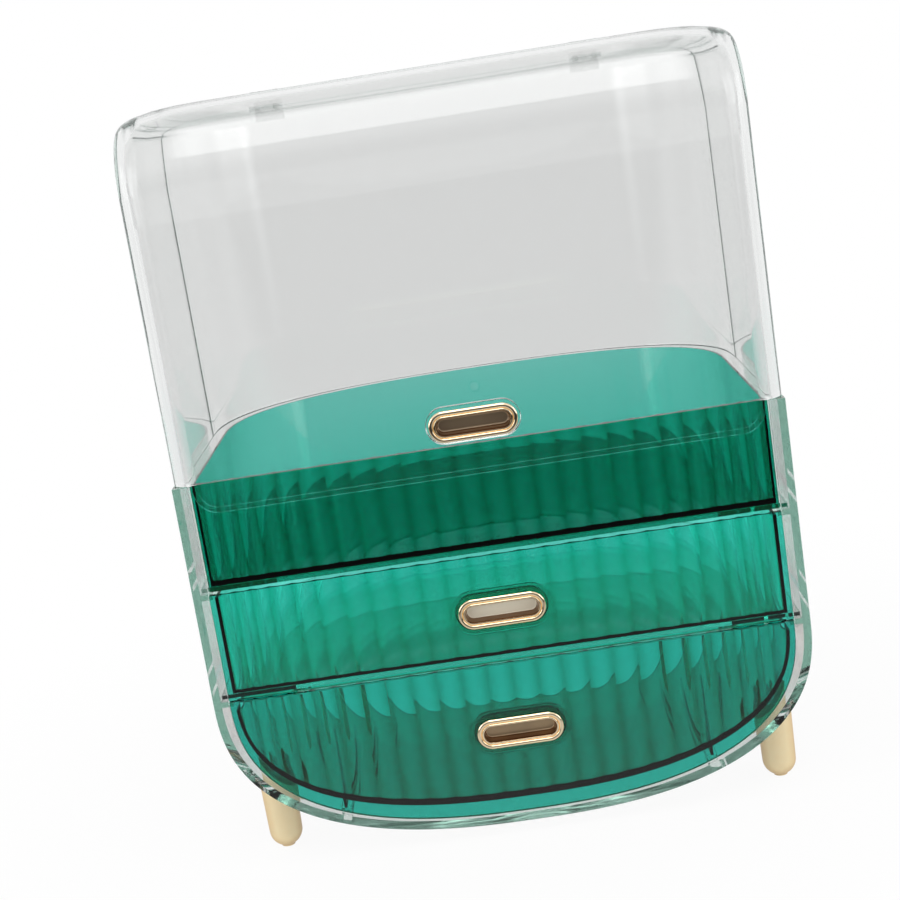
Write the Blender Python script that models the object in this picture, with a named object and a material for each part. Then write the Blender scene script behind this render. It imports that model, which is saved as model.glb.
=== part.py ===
"""Countertop makeup organizer: clear rounded casing, green tray and drawers, hinged clear lid, gold feet."""
import bmesh
import bpy
from math import cos, pi, radians, sin, sqrt

OBJECT_NAME = "makeup_organizer"

# Casing, lid and hood. The rim is the level where the lid meets the casing.
CASE_WIDTH = 0.2994
CASE_DEPTH = 0.230
CASE_DROP = 0.1968
CASE_STRAIGHT = 0.112
CASE_WALL = 0.0035
LIP_WIDTH = 0.0077
LIP_BASE_WIDTH = 0.0052
LIP_THICKNESS = 0.0035
BOW_START = 0.1247
TOTAL_HEIGHT = 0.3833
TOP_WALL = 0.0030
FRONT_WALL = 0.0033
BEND_RADIUS = 0.038
SIDE_EDGE_RADIUS = 0.010
CROWN_WIDTH = 0.045
CROWN_DROP = 0.010
BACK_CROWN = 0.024
ROUND_POWER = 2.5
FIT_GAP = 0.0003
OVERRUN = 0.004

# Feet
FOOT_DROP = 0.2030
FOOT_RADIUS = 0.0094
FOOT_TIP_RADIUS = 0.0086
FOOT_FLAT_RADIUS = 0.0035
FOOT_SIDE_INSET = 0.0197
REAR_FOOT_SIDE_INSET = 0.0237
FRONT_FOOT_DEPTH = 0.027
REAR_FOOT_DEPTH = 0.148
FOOT_TOP_DROP = 0.142
FOOT_BORE_DEPTH = 0.008

# Foot screws
SCREW_RADIUS = 0.0016
SCREW_HEAD_RADIUS = 0.0032
SCREW_HEAD_HEIGHT = 0.0018
SCREW_BOSS_RADIUS = 0.0052
SCREW_BOSS_RIM = 0.0005
SCREW_HOLE_LENGTH = 0.024
SCREW_TIP_GAP = 0.002

# Lid tongue
TONGUE_HALF_GAP = 0.0021
TONGUE_DROP = 0.0147
TONGUE_CORNER = 0.012
TONGUE_OVERLAP = 0.002

# Hinges
HINGE_SIDE_INSET = 0.0639
HINGE_AXIS_DROP = 0.0006
HINGE_SLOT_WIDTH = 0.0170
HINGE_SLOT_REACH = 0.0045
HINGE_SLOT_OVERCUT = 0.001
LID_EDGE_BACK = 0.0006
HOOD_EDGE_BACK = 0.0015
PIN_RADIUS = 0.0006
KNUCKLE_RADIUS = 0.0016
KNUCKLE_WIDTH = 0.0034
MIDDLE_KNUCKLE_WIDTH = 0.0080
LEAF_THICKNESS = 0.0020
LEAF_LENGTH = 0.0110
LEAF_START = 0.0012
HOOD_LEAF_START = 0.0025
WEB_START = 0.0100
WEB_THICKNESS = 0.0015
WEB_DROP = 0.0126
RIVET_RADIUS = 0.0011
RIVET_HEAD_RADIUS = 0.0018
RIVET_HEAD_HEIGHT = 0.0009
RIVET_SPAN = 0.0100
RIVET_PLACE = 0.0065
RIVET_HOLE_LENGTH = 0.012

# Tray
TRAY_SIDE_INSET = 0.0089
TRAY_SET_BACK = 0.0042
TRAY_PLATE_THICKNESS = 0.0022
TRAY_PLATE_DROP = 0.0550
TRAY_FLOOR_DROP = 0.0510
TRAY_FLOOR_THICKNESS = 0.0020
TRAY_RIM_BACK = 0.2235
TRAY_FOOT_BACK = 0.2120
BOX_WALL = 0.0018

# Shelves
SHELF_THICKNESS = 0.0020
SHELF_SET_BACK = 0.0070
RAIL_WIDTH = 0.0060
RAIL_HEIGHT = 0.0028
RAIL_BITE = 0.0010

# Drawers
PLATE_HALF_GAP = 0.0003
PLATE_GAP = 0.0009
PLATE_THICKNESS = 0.0030
MIDDLE_PLATE_DROP = 0.1110
DRAWER_SIDE_INSET = 0.0104
DRAWER_WALL_CLEARANCE = 0.0022
MIDDLE_FLOOR_DROP = 0.1060
MIDDLE_BOW_START = 0.100
MIDDLE_FOOT_BACK = 0.162
MIDDLE_RIM_BACK = 0.172
DRAWER_FLOOR_THICKNESS = 0.0020
RUNNER_RIB_WIDTH = 0.0014
RUNNER_RIB_INSET = 0.0080
RUNNER_RIB_PITCH = 0.0042
MIDDLE_RIB_LENGTH = 0.090
BOTTOM_DRAWER_DROP = 0.1844
BOTTOM_BOW_START = 0.066
BOTTOM_BACK = 0.129
BOTTOM_RIB_INSET = 0.0458
BOTTOM_RIB_LENGTH = 0.0775
BASE_RAIL_WIDTH = 0.0050
BASE_RAIL_LENGTH = 0.110
BASE_RAIL_RISE = 0.0018

# Flutes on the inner faces of the green front plates
FLUTE_DEPTH = 0.0006
FLUTE_STEPS = 4
FLUTE_RIDGE_SHARES = (0.092, 0.184, 0.276, 0.368, 0.460, 0.552, 0.647, 0.729, 0.8145, 0.880, 0.940, 0.9965)

# Handles
HANDLE_LENGTH = 0.0438
HANDLE_HEIGHT = 0.0156
HANDLE_PROUD = 0.0016
HANDLE_ROLL = 0.0008
HANDLE_LIP = 0.0022
HANDLE_FLOOR_INSET = 0.0036
HANDLE_CUP_INSET = 0.0021
HANDLE_RECESS = 0.0042
HANDLE_CUP_WALL = 0.0010
POCKET_WALL = 0.0017
POCKET_RIM = 0.0036
LID_POCKET_RIM = 0.0014
LID_HANDLE_RISE = 0.0107
MIDDLE_HANDLE_DROP = 0.0846
BOTTOM_HANDLE_DROP = 0.1481

# Facets
ROUND_STEPS = 8
CORNER_STEPS = 5
TURN_STEPS = 12
FOOT_STEPS = 20
STADIUM_STEPS = 8

HALF_WIDTH = CASE_WIDTH / 2
HEAD_HEIGHT = TOTAL_HEIGHT - FOOT_DROP
HINGE_PLACE = HALF_WIDTH - HINGE_SIDE_INSET
TRAY_HALF_WIDTH = HALF_WIDTH - TRAY_SIDE_INSET
DRAWER_HALF_WIDTH = HALF_WIDTH - DRAWER_SIDE_INSET
FLUTE_HALF_SPAN = DRAWER_HALF_WIDTH - BOX_WALL
RUNNER_RIB_PLACE = DRAWER_HALF_WIDTH - RUNNER_RIB_INSET
BOTTOM_RIB_PLACE = DRAWER_HALF_WIDTH - BOTTOM_RIB_INSET
FRONT_Y = -(CASE_DEPTH - HANDLE_PROUD) / 2
LIP_HALF_OPENING = HALF_WIDTH - LIP_WIDTH
LIP_OPENING_DROP = CASE_DROP - LIP_BASE_WIDTH
HINGE_RISE = HEAD_HEIGHT - HINGE_AXIS_DROP
SHELF_UPPER_DROP = TRAY_FLOOR_DROP + TRAY_FLOOR_THICKNESS + FIT_GAP
RIB_HEIGHT = RUNNER_RIB_WIDTH
SHELF_LOWER_DROP = MIDDLE_FLOOR_DROP + DRAWER_FLOOR_THICKNESS + RIB_HEIGHT + FIT_GAP
SHELF_HALF_WIDTH = HALF_WIDTH - CASE_WALL - FIT_GAP
SHELF_BACK = CASE_DEPTH - CASE_WALL - FIT_GAP
CUP_DEPTH = HANDLE_RECESS + HANDLE_CUP_WALL


def clear_scene():
    for item in list(bpy.data.objects):
        bpy.data.objects.remove(item, do_unlink=True)


def new_collection(name):
    collection = bpy.data.collections.new(name)
    bpy.context.scene.collection.children.link(collection)
    return collection


def principled(name, colour, roughness, metallic, transmission):
    material = bpy.data.materials.new(name)
    material.use_nodes = True
    shader = material.node_tree.nodes["Principled BSDF"]
    shader.inputs["Base Color"].default_value = (*colour, 1)
    shader.inputs["Roughness"].default_value = roughness
    shader.inputs["Metallic"].default_value = metallic
    shader.inputs["Transmission Weight"].default_value = transmission
    return material


def clear_plastic():
    return principled("clear_plastic", (0.86, 0.88, 0.87), 0.05, 0, 0.9)


def tray_green():
    return principled("tray_green", (0.02, 0.45, 0.30), 0.06, 0, 0.7)


def drawer_green():
    return principled("drawer_green", (0.005, 0.30, 0.19), 0.06, 0, 0.7)


def handle_gold():
    return principled("handle_gold", (0.90, 0.66, 0.38), 0.16, 1, 0)


def foot_gold():
    return principled("foot_gold", (0.80, 0.60, 0.33), 0.34, 0.6, 0)


def steel():
    return principled("steel", (0.62, 0.62, 0.60), 0.3, 1, 0)


def quarter_round(steps):
    """Shares (across, along) of a squared quarter round, from (1, 0) to (0, 1)."""
    pairs = []
    for i in range(steps + 1):
        angle = pi / 2 * i / steps
        pairs.append((max(cos(angle), 0) ** (2 / ROUND_POWER), sin(angle) ** (2 / ROUND_POWER)))
    return pairs


def mesh_object(name, bm, material, place=(0, FRONT_Y, FOOT_DROP)):
    mesh = bpy.data.meshes.new(name)
    bm.to_mesh(mesh)
    bm.free()
    mesh.materials.append(material)
    mesh.shade_smooth()
    mesh.set_sharp_from_angle(angle=radians(32))
    item = bpy.data.objects.new(name, mesh)
    item.location = place
    parts.objects.link(item)
    return item


def loft(rings):
    """Closed solid through rings with the same number of points."""
    bm = bmesh.new()
    rows = [[bm.verts.new(point) for point in ring] for ring in rings]
    for near, far in zip(rows, rows[1:]):
        for i in range(len(near)):
            j = (i + 1) % len(near)
            bm.faces.new((near[i], near[j], far[j], far[i]))
    bm.faces.new(rows[0])
    bm.faces.new(rows[-1])
    bmesh.ops.triangulate(bm, faces=bm.faces)
    bmesh.ops.recalc_face_normals(bm, faces=bm.faces)
    return bm


def prism_along_y(outline, near, far):
    return loft([[(x, y, z) for x, z in outline] for y in (near, far)])


def box(low, high):
    corners = [(low[0], low[1]), (high[0], low[1]), (high[0], high[1]), (low[0], high[1])]
    return loft([[(x, y, z) for x, y in corners] for z in (low[2], high[2])])


def cylinder(radius, centre, axis, length):
    """Cylinder of TURN_STEPS sides along x or z, centred on a point."""
    rings = []
    for shift in (-length / 2, length / 2):
        ring = []
        for i in range(TURN_STEPS):
            a = radius * cos(2 * pi * i / TURN_STEPS)
            b = radius * sin(2 * pi * i / TURN_STEPS)
            if axis == "x":
                ring.append((centre[0] + shift, centre[1] + a, centre[2] + b))
            else:
                ring.append((centre[0] + a, centre[1] + b, centre[2] + shift))
        rings.append(ring)
    return loft(rings)


def cutter_object(name, bm, place):
    item = mesh_object(name, bm, cutter_material, place)
    parts.objects.unlink(item)
    cutters.objects.link(item)
    item.hide_render = True
    item.display_type = "WIRE"
    return item


def combine(item, bm, operation, name, place=None):
    """Boolean of an object with another mesh that is given in the same local frame."""
    other = cutter_object(f"{item.name}_{name}", bm, place or tuple(item.location))
    modifier = item.modifiers.new(name, "BOOLEAN")
    modifier.operation = operation
    modifier.object = other


def cut(item, bm, name):
    combine(item, bm, "DIFFERENCE", name)


def join(item, bm, name):
    combine(item, bm, "UNION", name)


def bowl_outline(half_width, drop, straight, top):
    """Front outline with straight sides and a round bottom, from right rim to left rim."""
    right = [(half_width, top)]
    for across, along in quarter_round(ROUND_STEPS):
        right.append((half_width * across, -straight - (drop - straight) * along))
    left = [(-x, z) for x, z in reversed(right[:-1])]
    return right + left


def bowl(half_width, drop, near, far, top):
    """Solid with the bowl outline, straight to BOW_START and rounded over to the back."""
    stations = [(1, near)]
    pairs = quarter_round(ROUND_STEPS)
    for across, along in pairs[:-2]:
        stations.append((across, BOW_START + (far - BOW_START) * along))
    stations.append((pairs[-2][0], far))
    rings = []
    for scale, y in stations:
        depth = CASE_STRAIGHT + (drop - CASE_STRAIGHT) * scale
        rings.append([(x, y, z) for x, z in bowl_outline(half_width * scale, depth, CASE_STRAIGHT, top)])
    return loft(rings)


def bowl_bottom(half_width, drop, x):
    """Height of the round bottom at a distance x from the middle."""
    share = 1 - (abs(x) / half_width) ** ROUND_POWER
    return -CASE_STRAIGHT - (drop - CASE_STRAIGHT) * share ** (1 / ROUND_POWER)


def flute_points(near):
    """Inner face of a front plate from left to right: ridges at near, hollow flutes between them."""
    right = [FLUTE_HALF_SPAN * share for share in FLUTE_RIDGE_SHARES]
    ridges = [-x for x in reversed(right)] + [0] + right
    points = []
    for low, high in zip(ridges, ridges[1:]):
        for i in range(FLUTE_STEPS):
            share = i / FLUTE_STEPS
            dent = FLUTE_DEPTH * (1 - (1 - 2 * share) ** 2)
            points.append((low + (high - low) * share, near - dent))
    return points + [(ridges[-1], near)]


def bowed_plan(half_width, near, start, back):
    """Plan with straight sides and a bowed back, from the right front corner to the left one."""
    plan = [(half_width, near), (half_width, start)]
    for across, along in quarter_round(ROUND_STEPS)[1:]:
        plan.append((half_width * across, start + (back - start) * along))
    return plan + [(-x, y) for x, y in reversed(plan[:-1])]


def bowed_box(half_width, near, start, backs, levels, front=()):
    """Solid whose bowed back leans from its foot to its rim; front holds the flutes, if it has them."""
    rings = []
    for z, back in zip(levels, backs):
        rings.append([(x, y, z) for x, y in [*bowed_plan(half_width, near, start, back), *front]])
    return loft(rings)


def stadium(length, height, inset):
    """Points of a stadium outline, in x and z, drawn in by inset."""
    radius = height / 2 - inset
    half = length / 2 - height / 2
    points = []
    for side in (1, -1):
        for i in range(STADIUM_STEPS + 1):
            angle = -pi / 2 + pi * i / STADIUM_STEPS
            points.append((side * (half + radius * cos(angle)), side * radius * sin(angle)))
    return points


def stadium_rings(sections, centre_z):
    rings = []
    for inset, y in sections:
        outline = stadium(HANDLE_LENGTH, HANDLE_HEIGHT, inset)
        rings.append([(x, y, z + centre_z) for x, z in outline])
    return rings


def add_handle_seat(item, centre_z, plate_back, rim):
    """Closed pocket behind a front plate that takes the cup of a handle."""
    back = CUP_DEPTH + FIT_GAP
    boss = stadium_rings([(-rim, plate_back / 2), (-rim, back + POCKET_WALL)], centre_z)
    join(item, loft(boss), "pocket_boss")
    inset = HANDLE_CUP_INSET - FIT_GAP
    cut(item, loft(stadium_rings([(inset, -OVERRUN), (inset, back)], centre_z)), "pocket")


def lid_section(x, half_width, front, top, bend, low, back):
    """Side profile (y, z) of the lid at x: front face, bend, top, down the seam."""
    share = max(0, (abs(x) - half_width + CROWN_WIDTH) / CROWN_WIDTH)
    drop = CROWN_DROP * (1 - max(0, 1 - share ** ROUND_POWER) ** (1 / ROUND_POWER))
    edge = max(0, abs(x) - half_width + SIDE_EDGE_RADIUS)
    inset = SIDE_EDGE_RADIUS - sqrt(max(0, SIDE_EDGE_RADIUS ** 2 - edge ** 2))
    y0 = front + inset
    z1 = top - drop
    radius = bend - inset
    points = [(y0, low)]
    for i in range(CORNER_STEPS + 2):
        angle = pi / 2 * i / (CORNER_STEPS + 1)
        points.append((y0 + radius - radius * cos(angle), z1 - radius + radius * sin(angle)))
    points.append((back, z1))
    points.append((back, low))
    return points


def lid_stations(half_width):
    values = [0, half_width - CROWN_WIDTH]
    for across, _ in quarter_round(CORNER_STEPS)[1:-2]:
        values.append(half_width - CROWN_WIDTH * across)
    for i in range(1, CORNER_STEPS + 1):
        values.append(half_width - SIDE_EDGE_RADIUS + SIDE_EDGE_RADIUS * sin(pi / 2 * i / CORNER_STEPS))
    values = sorted(set(values))
    return [-x for x in reversed(values[1:])] + values


def lid_solid(half_width, front, top, bend, low, back):
    rings = []
    for x in lid_stations(half_width):
        rings.append([(x, y, z) for y, z in lid_section(x, half_width, front, top, bend, low, back)])
    return loft(rings)


def hood_solid(half_width, near, back, top, low):
    """Solid over the bowed plan with a crowned edge round its top."""
    rings = []
    levels = [(0, low)]
    start = BOW_START + OVERRUN
    for across, along in quarter_round(CORNER_STEPS):
        levels.append((1 - across, top - CROWN_DROP + CROWN_DROP * along))
    for share, z in levels:
        wide = half_width - CROWN_WIDTH * share
        deep = back - BACK_CROWN * share
        ring = [(wide, near, z), (wide, start, z)]
        for across, along in quarter_round(ROUND_STEPS)[1:]:
            ring.append((wide * across, start + (deep - start) * along, z))
        ring += [(-x, y, level) for x, y, level in reversed(ring[:-1])]
        rings.append(ring)
    return loft(rings)


def make_casing(material):
    item = mesh_object("lower_casing", bowl(HALF_WIDTH, CASE_DROP, 0, CASE_DEPTH, 0), material)
    inner_drop = CASE_DROP - CASE_WALL
    hollow = bowl(HALF_WIDTH - CASE_WALL, inner_drop, LIP_THICKNESS, CASE_DEPTH - CASE_WALL, OVERRUN)
    cut(item, hollow, "hollow")
    opening = bowl_outline(LIP_HALF_OPENING, LIP_OPENING_DROP, CASE_STRAIGHT, OVERRUN)
    cut(item, prism_along_y(opening, -OVERRUN, LIP_THICKNESS + OVERRUN), "opening")
    outer = HALF_WIDTH - CASE_WALL + RAIL_BITE
    inner = outer - RAIL_BITE - RAIL_WIDTH
    for level, drop in (("upper", SHELF_UPPER_DROP), ("lower", SHELF_LOWER_DROP)):
        high = -drop - SHELF_THICKNESS - FIT_GAP
        for side, low_x, high_x in (("right", inner, outer), ("left", -outer, -inner)):
            rail = box((low_x, PLATE_THICKNESS + FIT_GAP, high - RAIL_HEIGHT), (high_x, BOW_START, high))
            join(item, rail, f"rail_{level}_{side}")
    rail_top = bowl_bottom(LIP_HALF_OPENING, LIP_OPENING_DROP, BOTTOM_RIB_PLACE) + BASE_RAIL_RISE
    for side, x in (("right", BOTTOM_RIB_PLACE), ("left", -BOTTOM_RIB_PLACE)):
        floor = bowl_bottom(HALF_WIDTH - CASE_WALL, inner_drop, BOTTOM_RIB_PLACE)
        rail = box((x - BASE_RAIL_WIDTH / 2, LIP_THICKNESS + FIT_GAP, floor - CASE_WALL / 2),
                   (x + BASE_RAIL_WIDTH / 2, BASE_RAIL_LENGTH, rail_top))
        join(item, rail, f"rail_base_{side}")
    for name, x, y in foot_places():
        floor = -screw_boss_drop(x, y)
        boss = cylinder(SCREW_BOSS_RADIUS, (x, y, floor + SCREW_BOSS_RIM - OVERRUN), "z", 2 * OVERRUN)
        join(item, boss, f"boss_{name}")
        half = CASE_WALL / 2
        middle_surface = bowl(HALF_WIDTH - half, CASE_DROP - half, half, CASE_DEPTH - half, OVERRUN)
        combine(item.modifiers[-1].object, middle_surface, "INTERSECT", "shell")
        head_room = cylinder(SCREW_HEAD_RADIUS + FIT_GAP, (x, y, floor + OVERRUN), "z", 2 * OVERRUN)
        cut(item, head_room, f"head_room_{name}")
        hole = cylinder(SCREW_RADIUS + FIT_GAP, (x, y, floor - OVERRUN), "z", SCREW_HOLE_LENGTH)
        cut(item, hole, f"hole_{name}")
    return item


def foot_places():
    """Name, x and depth of each foot."""
    places = []
    for row, inset, y in (("front", FOOT_SIDE_INSET, FRONT_FOOT_DEPTH),
                          ("rear", REAR_FOOT_SIDE_INSET, REAR_FOOT_DEPTH)):
        for side, x in (("left", inset - HALF_WIDTH), ("right", HALF_WIDTH - inset)):
            places.append((f"{row}_{side}", x, y))
    return places


def screw_boss_drop(x, y):
    """Level of the boss under a screw head: a little above the casing's inner floor at that place."""
    scale = 1
    if y > BOW_START:
        share = (y - BOW_START) / (CASE_DEPTH - CASE_WALL - BOW_START)
        scale = (1 - share ** ROUND_POWER) ** (1 / ROUND_POWER)
    half = (HALF_WIDTH - CASE_WALL) * scale
    drop = CASE_STRAIGHT + (CASE_DROP - CASE_WALL - CASE_STRAIGHT) * scale
    return -bowl_bottom(half, drop, x) - SCREW_HEAD_HEIGHT


def make_feet(material):
    for name, x, y in foot_places():
        profile = [(FOOT_RADIUS, FOOT_DROP - FOOT_TOP_DROP), (FOOT_TIP_RADIUS, FOOT_TIP_RADIUS)]
        for i in range(1, CORNER_STEPS + 1):
            angle = pi / 2 * i / (CORNER_STEPS + 1)
            profile.append((FOOT_TIP_RADIUS * cos(angle), FOOT_TIP_RADIUS * (1 - sin(angle))))
        profile = [(r, z) for r, z in profile if r > FOOT_FLAT_RADIUS]
        profile.append((FOOT_FLAT_RADIUS, 0))
        rings = []
        for r, z in profile:
            rings.append([(r * cos(2 * pi * i / FOOT_STEPS), r * sin(2 * pi * i / FOOT_STEPS), z)
                          for i in range(FOOT_STEPS)])
        place = (x, FRONT_Y + y, 0)
        item = mesh_object(f"foot_{name}", loft(rings), material, place)
        shell = bowl(HALF_WIDTH + FIT_GAP, CASE_DROP + FIT_GAP, -FIT_GAP, CASE_DEPTH + FIT_GAP, OVERRUN)
        bmesh.ops.translate(shell, verts=shell.verts, vec=(-x, -y, FOOT_DROP))
        cut(item, shell, "seat")
        bore_top = FOOT_DROP - FOOT_TOP_DROP
        bore_low = FOOT_DROP - screw_boss_drop(x, y) - SCREW_HEAD_HEIGHT - CASE_WALL - FOOT_BORE_DEPTH
        bore = cylinder(SCREW_RADIUS + FIT_GAP, (0, 0, (bore_top + bore_low) / 2), "z", bore_top - bore_low)
        cut(item, bore, "bore")


def make_foot_screws(material):
    for name, x, y in foot_places():
        seat = FOOT_DROP - screw_boss_drop(x, y) + FIT_GAP
        tip = -SCREW_HEAD_HEIGHT - CASE_WALL - FOOT_BORE_DEPTH + SCREW_TIP_GAP
        profile = [(SCREW_RADIUS, tip), (SCREW_RADIUS, 0), (SCREW_HEAD_RADIUS, 0),
                   (SCREW_HEAD_RADIUS, SCREW_HEAD_HEIGHT / 2), (SCREW_RADIUS, SCREW_HEAD_HEIGHT)]
        rings = []
        for r, z in profile:
            rings.append([(r * cos(2 * pi * i / TURN_STEPS), r * sin(2 * pi * i / TURN_STEPS), z)
                          for i in range(TURN_STEPS)])
        mesh_object(f"foot_screw_{name}", loft(rings), material, (x, FRONT_Y + y, seat))


def make_hood(material):
    near = BOW_START + HOOD_EDGE_BACK
    item = mesh_object("rear_hood", hood_solid(HALF_WIDTH, near, CASE_DEPTH, HEAD_HEIGHT, FIT_GAP), material)
    hollow = hood_solid(HALF_WIDTH - CASE_WALL, near - OVERRUN, CASE_DEPTH - CASE_WALL,
                        HEAD_HEIGHT - TOP_WALL, -OVERRUN)
    cut(item, hollow, "hollow")
    for side, x in hinge_places():
        cut(item, hinge_slot(x), f"slot_{side}")
        for end, shift in rivet_shifts():
            place = (x + shift, rivet_depth(), HEAD_HEIGHT)
            hole = cylinder(RIVET_RADIUS + FIT_GAP, place, "z", RIVET_HOLE_LENGTH)
            cut(item, hole, f"rivet_hole_{side}_{end}")
    return item


def hinge_places():
    return (("left", -HINGE_PLACE), ("right", HINGE_PLACE))


def rivet_shifts():
    return (("inner", -RIVET_SPAN / 2), ("outer", RIVET_SPAN / 2))


def rivet_depth():
    return BOW_START + RIVET_PLACE


def hinge_slot(x):
    low = HEAD_HEIGHT - TOP_WALL - HINGE_SLOT_OVERCUT
    return box((x - HINGE_SLOT_WIDTH / 2, BOW_START - HINGE_SLOT_REACH, low),
               (x + HINGE_SLOT_WIDTH / 2, BOW_START + HINGE_SLOT_REACH, HEAD_HEIGHT + OVERRUN))


def make_lid(material):
    back = BOW_START - LID_EDGE_BACK
    item = mesh_object("lid", lid_solid(HALF_WIDTH, 0, HEAD_HEIGHT, BEND_RADIUS, FIT_GAP, back), material)
    hollow = lid_solid(HALF_WIDTH - CASE_WALL, FRONT_WALL, HEAD_HEIGHT - TOP_WALL,
                       BEND_RADIUS - FRONT_WALL, -OVERRUN, back + OVERRUN)
    cut(item, hollow, "hollow")
    half = LIP_HALF_OPENING - TONGUE_HALF_GAP
    right = [(half, TONGUE_OVERLAP)]
    for i in range(CORNER_STEPS + 1):
        angle = pi / 2 * i / CORNER_STEPS
        right.append((half - TONGUE_CORNER + TONGUE_CORNER * cos(angle),
                      -TONGUE_DROP + TONGUE_CORNER - TONGUE_CORNER * sin(angle)))
    outline = right + [(-x, z) for x, z in reversed(right)]
    join(item, prism_along_y(outline, 0, FRONT_WALL), "tongue")
    add_handle_seat(item, LID_HANDLE_RISE, FRONT_WALL, LID_POCKET_RIM)
    for side, x in hinge_places():
        cut(item, hinge_slot(x), f"slot_{side}")
    return item


def knuckle(x, width):
    return cylinder(KNUCKLE_RADIUS, (x, BOW_START, HINGE_RISE), "x", width)


def outer_knuckle_shift():
    return MIDDLE_KNUCKLE_WIDTH / 2 + FIT_GAP + KNUCKLE_WIDTH / 2


def make_hinge(side, x, material, pin_material):
    leaf_top = HEAD_HEIGHT - TOP_WALL - FIT_GAP
    leaf_low = leaf_top - LEAF_THICKNESS
    half = outer_knuckle_shift() + KNUCKLE_WIDTH / 2
    lid_leaf = mesh_object(f"lid_hinge_leaf_{side}",
                           box((x - half, BOW_START - LEAF_START - LEAF_LENGTH, leaf_low),
                               (x + half, BOW_START - LEAF_START, leaf_top)), material)
    for end, shift in (("inner", -outer_knuckle_shift()), ("outer", outer_knuckle_shift())):
        arm = box((x + shift - KNUCKLE_WIDTH / 2, BOW_START - LEAF_START - KNUCKLE_RADIUS, leaf_low),
                  (x + shift + KNUCKLE_WIDTH / 2, BOW_START, HINGE_RISE))
        join(lid_leaf, arm, f"arm_{end}")
        join(lid_leaf, knuckle(x + shift, KNUCKLE_WIDTH), f"knuckle_{end}")
    bore = cylinder(PIN_RADIUS + FIT_GAP, (x, BOW_START, HINGE_RISE), "x", HINGE_SLOT_WIDTH)
    cut(lid_leaf, bore.copy(), "bore")
    web = BOW_START + WEB_START
    hood_leaf = mesh_object(f"hood_hinge_leaf_{side}",
                            box((x - half, BOW_START + HOOD_LEAF_START, leaf_low),
                                (x + half, web + WEB_THICKNESS, leaf_top)), material)
    arm = box((x - MIDDLE_KNUCKLE_WIDTH / 2, BOW_START, leaf_low),
              (x + MIDDLE_KNUCKLE_WIDTH / 2, BOW_START + HOOD_LEAF_START + KNUCKLE_RADIUS, HINGE_RISE))
    join(hood_leaf, arm, "arm")
    join(hood_leaf, knuckle(x, MIDDLE_KNUCKLE_WIDTH), "knuckle")
    web_low = HEAD_HEIGHT - WEB_DROP
    join(hood_leaf, box((x - half, web, web_low), (x + half, web + WEB_THICKNESS, leaf_top)), "web")
    cut(hood_leaf, bore, "bore")
    for end, shift in rivet_shifts():
        hole = cylinder(RIVET_RADIUS + FIT_GAP, (x + shift, rivet_depth(), leaf_low), "z", RIVET_HOLE_LENGTH)
        cut(hood_leaf, hole, f"rivet_hole_{end}")
        make_rivet(f"hinge_rivet_{side}_{end}", x + shift, leaf_low, pin_material)
    pin_length = 2 * half
    mesh_object(f"hinge_pin_{side}", cylinder(PIN_RADIUS, (0, 0, 0), "x", pin_length), pin_material,
                (x, FRONT_Y + BOW_START, FOOT_DROP + HINGE_RISE))
    return lid_leaf


def make_rivet(name, x, leaf_low, material):
    """Rivet with its head under the leaf and its shank flush with the hood's top."""
    seat = leaf_low - FIT_GAP
    profile = [(RIVET_HEAD_RADIUS, -RIVET_HEAD_HEIGHT), (RIVET_HEAD_RADIUS, 0), (RIVET_RADIUS, 0),
               (RIVET_RADIUS, HEAD_HEIGHT - seat)]
    rings = []
    for r, z in profile:
        rings.append([(r * cos(2 * pi * i / TURN_STEPS), r * sin(2 * pi * i / TURN_STEPS), z)
                      for i in range(TURN_STEPS)])
    mesh_object(name, loft(rings), material, (x, FRONT_Y + rivet_depth(), FOOT_DROP + seat))


def make_shelf(name, drop, material):
    plate = bowed_box(SHELF_HALF_WIDTH, SHELF_SET_BACK, BOW_START, (SHELF_BACK, SHELF_BACK),
                      (-drop - SHELF_THICKNESS, -drop))
    return mesh_object(name, plate, material)


def make_tray(material):
    low = -TRAY_FLOOR_DROP - TRAY_FLOOR_THICKNESS
    near = TRAY_SET_BACK
    inner_near = near + TRAY_PLATE_THICKNESS
    item = mesh_object("tray", bowed_box(TRAY_HALF_WIDTH, near, BOW_START, (TRAY_FOOT_BACK, TRAY_RIM_BACK),
                                         (low, 0)), material)
    half = LIP_HALF_OPENING - PLATE_HALF_GAP
    join(item, box((-half, near, -TRAY_PLATE_DROP), (half, inner_near, 0)), "plate")
    lean = (TRAY_RIM_BACK - TRAY_FOOT_BACK) / -low * OVERRUN
    hollow = bowed_box(TRAY_HALF_WIDTH - BOX_WALL, inner_near, BOW_START,
                       (TRAY_FOOT_BACK - BOX_WALL, TRAY_RIM_BACK - BOX_WALL + lean),
                       (-TRAY_FLOOR_DROP, OVERRUN), flute_points(inner_near))
    cut(item, hollow, "hollow")
    return item


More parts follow.
